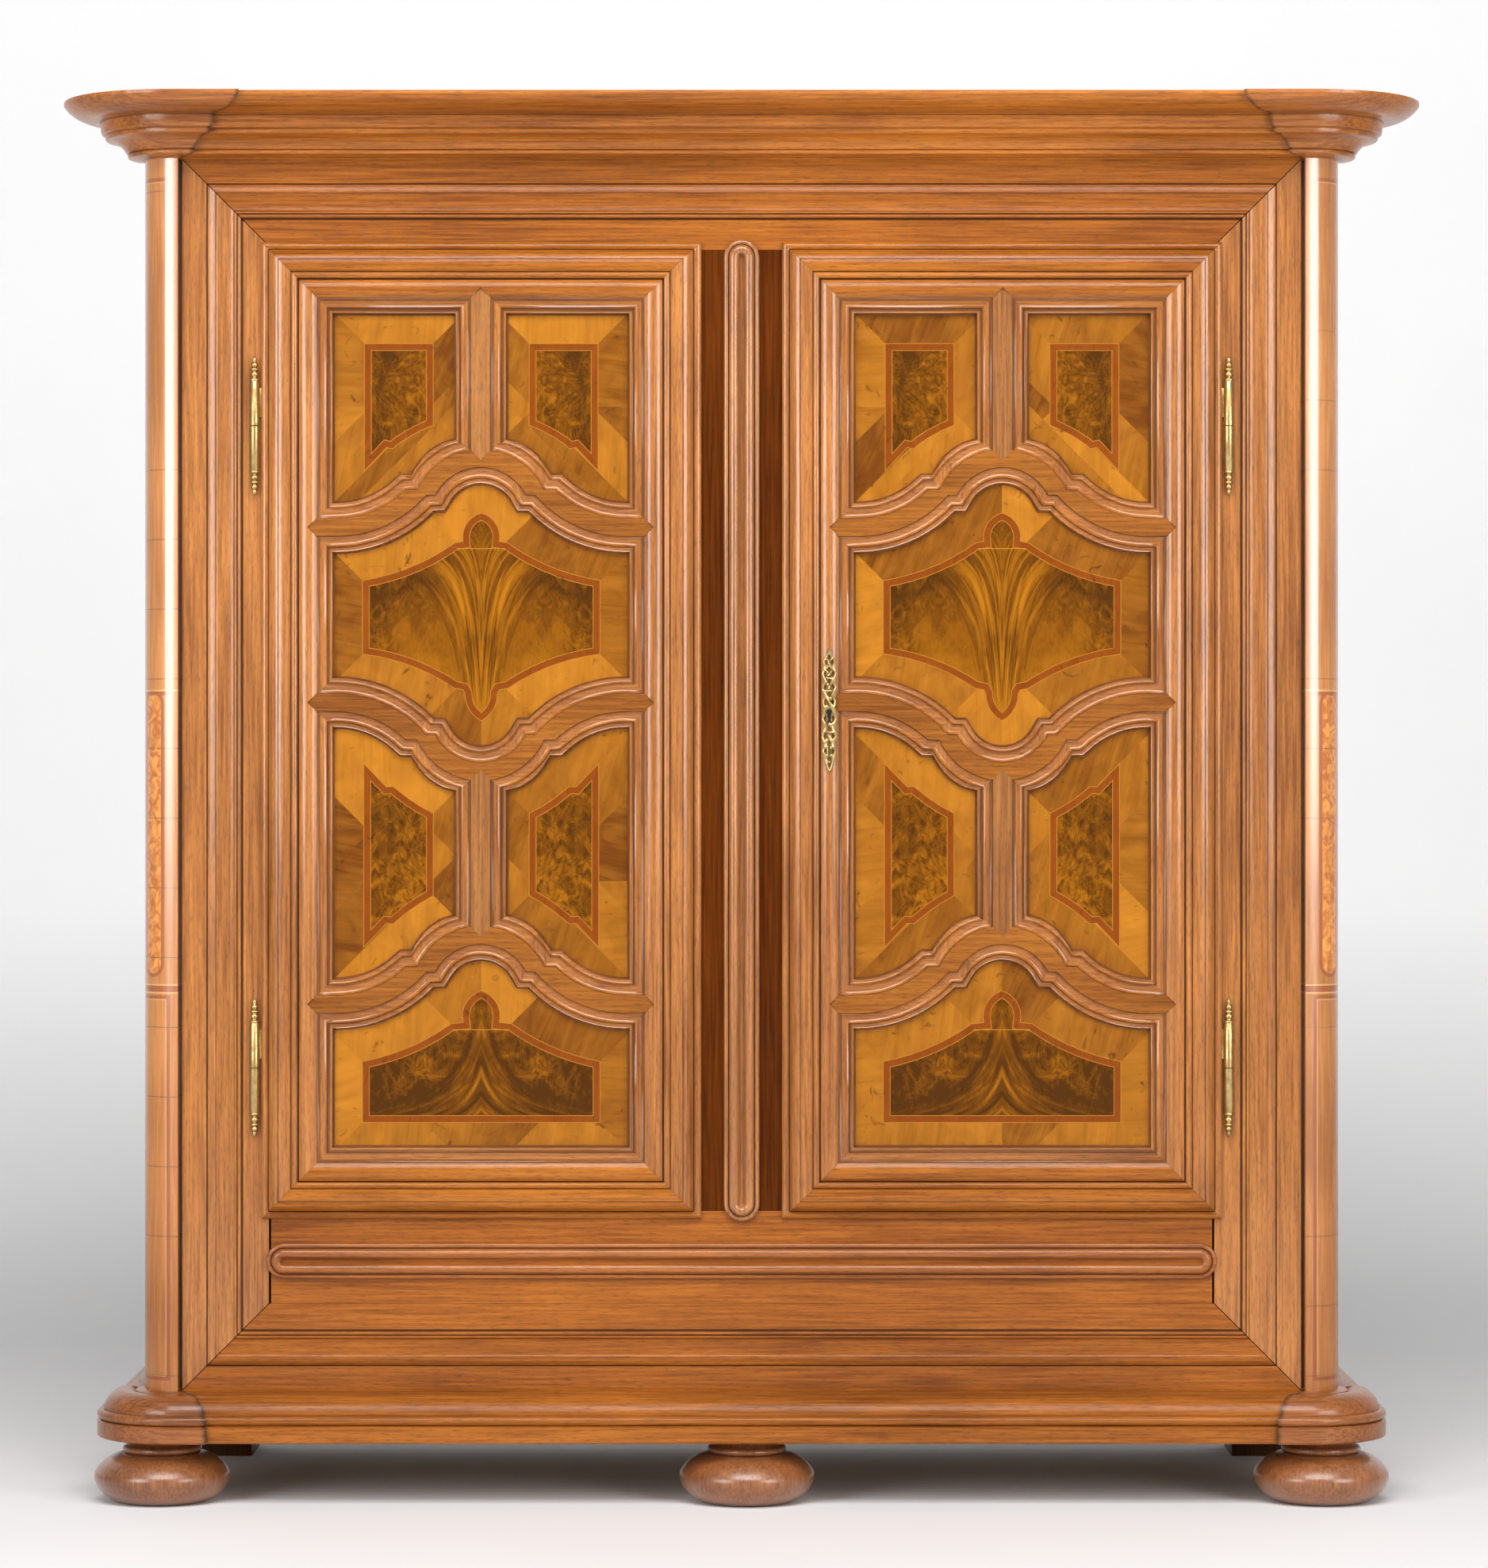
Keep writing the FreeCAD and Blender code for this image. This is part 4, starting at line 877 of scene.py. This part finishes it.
def figured_walnut(dark, brown, honey):
    """Dark walnut opened like a book: a feather figure, and root wood in the small fields."""
    finish, surface, spot = new_finish("figured_walnut")

    def between(factor, one, two):
        """A value between two others, by a factor."""
        return put("ShaderNodeMix", {0: factor, 2: one, 3: two}).outputs[0]

    x, _, high = parts(spot)
    away = unsigned(minus(unsigned(x), abs(door_x)))
    folded = put("ShaderNodeCombineXYZ", {0: away, 1: 0.23, 2: high}).outputs[0]
    low_panel = ramp(high, 0.801, 0.799)
    wide_panel = times(ramp(high, 1.159, 1.161), ramp(high, 1.501, 1.499))
    crotch = plus(low_panel, wide_panel)
    rise = unsigned(minus(high, between(low_panel, 1.47, 0.556)))
    spread = plus(away, between(low_panel, 0.006, 0.04))
    sweep = times(spread, plus(rise, 0.01))
    heart = times(crotch, ramp(sweep, 0.006, 0.012, 1.0, 0.0))
    flow = put("ShaderNodeCombineXYZ", {
        0: times(reckon("LOGARITHM", sweep, 2.718), 5.0), 1: times(away, 9.0),
        2: times(high, 9.0)}).outputs[0]
    feather = put("ShaderNodeTexNoise", {
        "Vector": flow, "Scale": 1.0, "Detail": 6.0, "Roughness": 0.62,
        "Distortion": 0.4}).outputs[0]
    feather = ramp(feather, 0.3, 0.7, 0.15, 0.85)
    knotty = streaks(folded, (20, 20, 15), 6.0, 1.8)
    mottle = streaks(folded, (46, 46, 34), 6.0, 1.4)
    lines = ramp(reckon("SINE", times(knotty, 60.0)), 0.5, 1.0, 0.0, 0.16)
    bright = times(ramp(rise, 0.08, 0.15), ramp(away, 0.16, 0.12))
    bright = times(bright, wide_panel)
    root = between(times(bright, 0.8), minus(mottle, lines), 0.46)
    cloud = streaks(folded, (9, 9, 8), 3.0, 1.0)
    edge = times(ramp(away, 0.03, 0.15), ramp(rise, 0.2, 0.05))
    small = minus(1.0, crotch)
    fine = streaks(folded, (240, 240, 60), 3.0, 1.0)
    level = between(heart, root, feather)
    for effect, weight in ((bright, 0.09), (cloud, 0.6), (fine, 0.16), (edge, -0.26), (small, -0.1),
                           (heart, -0.08), (low_panel, -0.07)):
        level = plus(level, times(effect, weight))
    colour = tint(ramp(level, 0.54, 0.84), dark, brown)
    feed(surface, {
        "Base Color": tint(ramp(level, 0.8, 1.12), colour, honey),
        "Normal": bumps(fine, 0.06, 0.0004), "Roughness": ramp(fine, 0.3, 0.7, 0.26, 0.4),
        "Specular IOR Level": 0.1, "Coat Weight": 0.1, "Coat Roughness": 0.16})
    return finish


def inlay(name, outline, divided=None):
    """A framed field: a pale line, the red band, a pale line and the figured walnut inside.
    Under an arch, a pale line divides the field."""

    def lay(index):
        piece.active_material_index = index
        bpy.ops.object.material_slot_assign()

    piece = drawn_section(name, outline, Vector((door_x, face_y - inlay_depth, 0)), right, up)
    pull(-back * inlay_thick)
    face_out()
    pick(piece, faces_front)
    for finish in (pale_line, red_band, dark_walnut):
        piece.data.materials.append(finish)
    for index, width in ((0, line_wide), (1, band_wide), (0, line_wide)):
        lay(index)
        bpy.ops.mesh.inset(thickness=width, depth=0)
    lay(2)
    if divided:
        for height in (divided, divided + divider_wide):
            bpy.ops.mesh.bisect(plane_co=up * height, plane_no=up)
            pick(piece, lambda middle, normal: faces_front(middle, normal)
                 and abs(middle.x - door_x) < field_near and abs(middle.z - divided) < field_tall)
        pick(piece, lambda middle, normal: faces_front(middle, normal)
             and abs(middle.z - divided - divider_wide / 2) < inlay_thick)
        lay(0)
    return close_up(piece)


def both_sides(half):
    """The whole of an outline that is the same on both sides of the middle."""
    return half + [(-x, z) for x, z in reversed(half) if abs(x) > 0.01]


honey_walnut = veneer("honey_walnut", (0.14, 0.038, 0.0007), (0.485, 0.181, 0.013), 0.52)
red_band = veneer("red_plumwood", (0.17, 0.034, 0.0006), (0.27, 0.064, 0.002), 0.156)
pale_line = veneer("pale_stringing", (0.38, 0.15, 0.012), (0.5, 0.22, 0.03), 0.156)
dark_walnut = figured_walnut((0.068, 0.021, 0.0005), (0.18, 0.057, 0.0012), (0.38, 0.135, 0.005))
inlay_depth, inlay_thick, line_wide, band_wide = 0.0066, 0.0002, 0.0009, 0.0095
divider_wide, field_near, field_tall = 0.0011, 0.05, 0.06
wide_divider, low_divider = 1.4402, 0.7131
upper_field = moulding(
    (-177, 1751), (-72, 1751), (-72, 1627), (-126, 1598, -2, 3), (-133, 1591), (-143, 1593),
    (-177, 1557))
middle_field = moulding(
    (-178, 1117), (-143, 1081), (-133, 1082), (-126, 1076), (-72, 1041, -2, 3), (-72, 916),
    (-126, 879, -2, 3), (-133, 873), (-143, 874), (-178, 837))
wide_field = moulding(
    (0, 1180), (-25, 1222, 7, 6), (-28, 1227), (-40, 1229), (-180, 1281, -9, 7), (-180, 1393),
    (-40, 1450, -9, 7), (-28, 1452), (0, 1495, 10, 7))
low_field = moulding((-180, 573), (-180, 666), (-46, 723, -8, 7), (-28, 725), (0, 773, 11, 7))
fields = []
for side in (1, -1):
    fields.append(inlay("upper_field", [(side * x, z) for x, z in upper_field]))
    fields.append(inlay("middle_field", [(side * x, z) for x, z in middle_field]))
fields.append(inlay("wide_field", both_sides(wide_field), wide_divider))
fields.append(inlay("low_field", both_sides(low_field), low_divider))
fields = join(*fields)
fields.name = fields.data.name = "left_inlays"
sheets.data.materials.clear()
sheets.data.materials.append(honey_walnut)
for piece, other_name in ((sheets, "right_border_veneers"), (fields, "right_inlays")):
    for part, body in zip((piece, mirror_copy(piece, other_name)), doors):
        set_tones(part)
        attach(part, body)
dress(pine_upright, "left_panels", "right_panels")


# Hinges: four pin hinges of brass, each a pair of turned barrels with a finial at each end.
# The lower barrel is driven into the stile by its plate and carries the pin, and the upper
# barrel is fixed in the door's lip and turns on it.
tarnish, given, result = new_group(
    "tarnish", {"Vector": "Vector", "Light": "Color", "Dark": "Color", "Bright": "Float"},
    {"Color": "Color", "Roughness": "Float", "Height": "Float"})
patches = ramp(streaks(given["Vector"], (90, 90, 60), 4.0), 0.38, 0.66)
feed(result, {
    "Color": tint(patches, given["Light"], given["Dark"]), "Height": patches,
    "Roughness": plus(times(patches, 0.2), given["Bright"])})


def old_metal(name, light, dark, bright, metallic=1.0):
    """Metal with a tarnish that lies in patches; bright is the roughness between them."""
    finish, surface, spot = new_finish(name)
    metal = place_group(tarnish, {"Vector": spot, "Light": light, "Dark": dark, "Bright": bright})
    feed(surface, {
        "Base Color": metal["Color"], "Roughness": metal["Roughness"],
        "Normal": bumps(metal["Height"], 0.15, 0.0003), "Metallic": metallic})
    return finish


brass = old_metal("old_brass", (0.6, 0.43, 0.18), (0.33, 0.225, 0.085), 0.26)
hinge_x, hinge_y, hinge_splits = 0.736, face_y - 0.008, (1.626, 0.656)
leaf_middle, leaf_size = Vector((0.012, 0.004, 0.0355)), (0.024, 0.002, 0.044)
plate_middle, plate_size = Vector((0, 0.016, -0.0355)), (0.002, 0.032, 0.044)
barrel = moulding(
    (0, 0.3), (7.2, 0.3), (7.7, 0.9), (7.7, 66), (7, 67), (7, 68), (7, 71.5, -0.9, 5), (4.6, 73),
    (4.4, 74), (4.4, 82, -2.2, 6), (4.2, 83), (6.2, 83.6), (6.2, 87, -1.2, 6), (3.8, 88.4),
    (3.4, 96, -2, 7), (3, 97), (0, 105, -1.6, 7))
lower_barrel = [(r, -z) for r, z in barrel]
uppers, lowers = [], []
for split in hinge_splits:
    spot = Vector((-hinge_x, hinge_y, split))
    uppers += [turned("left_door_barrels", barrel, spot, steps=32, smooth=35),
               eased_board(spot + leaf_middle, leaf_size, ease=0.0005)]
    lowers += [turned("left_frame_barrels", lower_barrel, spot, steps=32, smooth=35),
               eased_board(spot + plate_middle, plate_size, ease=0.0005)]
fit_pair(join(*uppers), "right_door_barrels", doors, "brass", brass,
         ("left_hinge_door_halves", "right_hinge_door_halves"))
fit_pair(join(*lowers), "right_frame_barrels", ("case", "case"), "brass", brass,
         ("left_hinge_frame_halves", "right_hinge_frame_halves"))


# Escutcheon: a long leaf-work plate of cast brass, pierced and filed, pinned over the keyhole
# of the right-hand door. The keyhole is cut through the plate, and behind it a thin near-black
# sheet is painted shade for the dark hole through to the iron lock.
def punch(outline, spot):
    """A cutter for one opening of the plate."""
    cutter = drawn_section("punch", outline, spot + back * punch_reach, right, up)
    pull(-back * 2 * punch_reach)
    return close_up(cutter)


low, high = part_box("escutcheon")
skin, punch_reach = 0.0001, 0.01
shade_sheet_wide, shade_sheet_tall, shade_sheet_thick = 0.97, 0.98, 0.0003
centre = Vector(((low.x + high.x) / 2, high.y - skin, (low.z + high.z) / 2))
leaf_edge = [
    (0, 93), (2.4, 91), (4.6, 87), (4, 83), (7.6, 80), (9.6, 75), (8.4, 70), (6.4, 67), (9.6, 62),
    (11.4, 56), (10.4, 50), (7.4, 46), (9.6, 41), (11.8, 35), (10.6, 29), (7.4, 24), (8.8, 19),
    (10.4, 13), (9.6, 7), (8, 3), (9, -2), (11, -8), (11.4, -14), (9.4, -19), (7.4, -22), (9, -27),
    (11.4, -33), (11.8, -41), (9.8, -47), (7.6, -51), (9.4, -56), (10.8, -62), (9.8, -69),
    (6.8, -74), (7.4, -79), (5.8, -84), (3, -89), (0, -93)]
keyhole = both_sides([(0, -18)] + moulding((2.6, -18), (2.6, -6), (0, 2, -2.8, 6)))
drop = both_sides(moulding((0, -4), (0, 4, -2.2, 7)))
drops = ((0, 80), (4.4, 72), (0, 61), (5.6, 55), (0, 44), (5.4, 35), (0, 24), (5.2, 13), (5.4, -12),
         (0, -28), (5.6, -38), (0, -50), (5.2, -62), (0, -73), (0, -83))
plate = drawn_section("pierced_escutcheon", both_sides(leaf_edge), centre, right, up)
pull(-back * (centre.y - low.y - skin))
close_up(plate, smooth=15)
punches = [punch(keyhole, centre)]
for x, z in drops:
    for side in ((-1, 1) if x else (1,)):
        punches.append(punch(drop, centre + Vector((side * x * mm, 0, z * mm))))
cut_away(plate, join(*punches))
fit(plate, "right_door", "brass", brass, "escutcheon")
# Painted shade: a thin near-black sheet fills the keyhole behind the plate.
shade_sheet_edge = [(x * shade_sheet_wide, z * shade_sheet_tall) for x, z in keyhole]
keyhole_shade_sheet = drawn_section("keyhole_dark", shade_sheet_edge, centre, right, up)
pull(-back * shade_sheet_thick)
close_up(keyhole_shade_sheet)
keyhole_shade_black = old_metal("keyhole_painted_shade", (0.012, 0.01, 0.008), (0.005, 0.004, 0.003), 0.7, 0.3)
fit(keyhole_shade_sheet, "right_door", "iron", keyhole_shade_black)


# Lock and bolts: an iron box lock and its wear plate, and two iron slide bolts in their
# guides, forged and filed, and nailed to the inside of the doors.
iron = old_metal("old_iron", (0.12, 0.11, 0.1), (0.05, 0.04, 0.035), 0.45)
dress(iron, "lock_case", "lock_bolt", "lock_keeper", "upper_bolt", "lower_bolt", "bolt_guides")


# Cornice: an oak moulding of bead, hollow, fascia and bold round, in straight runs along the
# front and the sides, with quarter-round corner blocks that break forward over the columns.
# It lifts off: the blocks and runs are pegged to the frame below. Softwood boards close the top.
cornice_oak = oak("cornice_oak", along_x, (0.56, 0.184, 0.023), (0.23, 0.06, 0.0065), 0.2)
cornice_side_oak = oak("cornice_side_oak", along_y, oak_light, oak_dark, 0.2)
block_oak = oak("cornice_block_oak", along_x, (0.53, 0.18, 0.034), (0.215, 0.058, 0.0094), 0.45)
cornice_slope, cornice_setback, cornice_reach, cornice_gap = 0.8, 12, 0.122, 0.0028
for finish in (cornice_oak, block_oak):
    darken_joint(finish, cornice_slope)
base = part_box("cornice_front")[0].z
profile = moulding(
    (-18, 0), (0, 0), (3, 2), (22, 4), (24, 11, -3, 6), (28, 12), (58, 31, 5, 8), (60, 33),
    (60, 38), (65, 40), (66, 42), (68, 58), (74, 60), (122, 82, -7, 9), (122, 87), (70, 87),
    (-18, 30))
crown = moulding(
    (-30, 0), (-9, 0), (-9, 38), (-4, 40), (14, 56, 4, 6), (18, 57), (18, 60), (72, 82, -7, 9),
    (72, 87), (30, 87), (-30, 48))
turn = math.radians(38)
cornice_front = front_run(
    "cornice_front_run", profile, base, cornice_slope, cornice_setback, cornice_gap)
cornice_corner = moulded_corner(
    "cornice_corner_block_right", profile, base, cornice_slope, cornice_reach, turn)
cornice_sides = side_runs(
    "cornice", crown, base, (axis.x, axis.y + side_gap), (math.sin(turn), -math.cos(turn), 0))
fit(cornice_front, "case", "oak_moulding", cornice_oak, "cornice_front")
fit(cornice_sides, "case", "oak_side", cornice_side_oak, "cornice_sides")
fit_pair(cornice_corner, "cornice_corner_block_left", ("case", "case"), "oak_corner", block_oak,
         ("cornice_corner_right", "cornice_corner_left"))
dress(pine_across, "top_boards", "cornice_back")


# Inside: a pine hat shelf on battens that are nailed to the sides, and an oak clothes rail held
# in two brackets that hang from the battens.
dress(pine_across, "hat_shelf")
dress(side_rail_oak, "shelf_battens", "rail_brackets")
dress(rail_oak, "clothes_rail")


# Floor, lamps and camera: a pale paper sweep that rises behind the wardrobe, two tall soft
# lamps to the left and right of the camera, and a broad one high above it. Seen from behind,
# the paper is clear, so that the back shows too.
def shown(tree):
    """1 for the rays that show the paper or the room: straight, in a gloss or through glass."""
    ray = put("ShaderNodeLightPath", {}, tree).outputs
    straight = plus(ray["Is Camera Ray"], ray["Is Glossy Ray"])
    return plus(straight, ray["Is Transmission Ray"])


sweep_line = moulding((-9000, 0), (1800, 0), (3600, 1800, -527, 12), (3600, 7000))
sweep_half = 16
sweep = drawn_section("pale_sweep", sweep_line, Vector((-sweep_half, 0, 0)), back, up, closed=False)
pull(right * 2 * sweep_half)
close_up(sweep, smooth=60)
work_on(sweep)
bpy.ops.mesh.flip_normals()
bpy.ops.object.mode_set(mode="OBJECT")
paper, surface, spot = new_finish("pale_paper")
tree = paper.node_tree
fibres = streaks(spot, (3, 3, 3), 4.0)
_, _, height = parts(spot)
feed(surface, {
    "Base Color": tint(fibres, (0.82, 0.82, 0.83), (0.86, 0.86, 0.86)), "Roughness": 0.9,
    "Emission Color": (1, 1, 1),
    "Emission Strength": times(shown(tree), ramp(height, 0.0, 0.8, 0.0, 0.26))})
clear = put("ShaderNodeBsdfTransparent", {}, tree).outputs[0]
behind = put("ShaderNodeNewGeometry", {}, tree).outputs["Backfacing"]
one_sided = put("ShaderNodeMixShader", {0: behind, 1: surface.outputs[0], 2: clear}).outputs[0]
feed(tree.nodes["Material Output"], {"Surface": one_sided})
sweep.data.materials.append(paper)

lamps_aim = Vector((0, -0.2, 1.1))
for name, spot, width, height, power in (
        ("left_lamp", (-3.4, -4.1, 2.0), 2.2, 2.1, 120),
        ("right_lamp", (3.4, -4.1, 2.0), 2.2, 2.1, 116),
        ("top_lamp", (0, -4.6, 5.6), 5.0, 2.8, 385)):
    bpy.ops.object.light_add(type="AREA", location=spot)
    lamp = bpy.context.object
    lamp.name = name
    lamp.data.shape = "RECTANGLE"
    lamp.data.size = width
    lamp.data.size_y = height
    lamp.data.energy = power
    lamp.rotation_euler = (lamps_aim - Vector(spot)).to_track_quat("-Z", "Y").to_euler()

world = bpy.data.worlds.new("studio")
bpy.context.scene.world = world
world.use_nodes = True
tree = world.node_tree
shade = tint(shown(tree), (0.06, 0.06, 0.06), (0.4, 0.4, 0.4))
feed(tree.nodes["Background"], {"Color": shade})

bpy.ops.object.camera_add(location=(0.0036, -7.553, 1.085), rotation=(math.pi / 2, 0, 0))
camera = bpy.context.object
camera.data.lens = 110.8
camera.data.sensor_width = 36
camera.data.clip_end = 100
bpy.context.scene.camera = camera
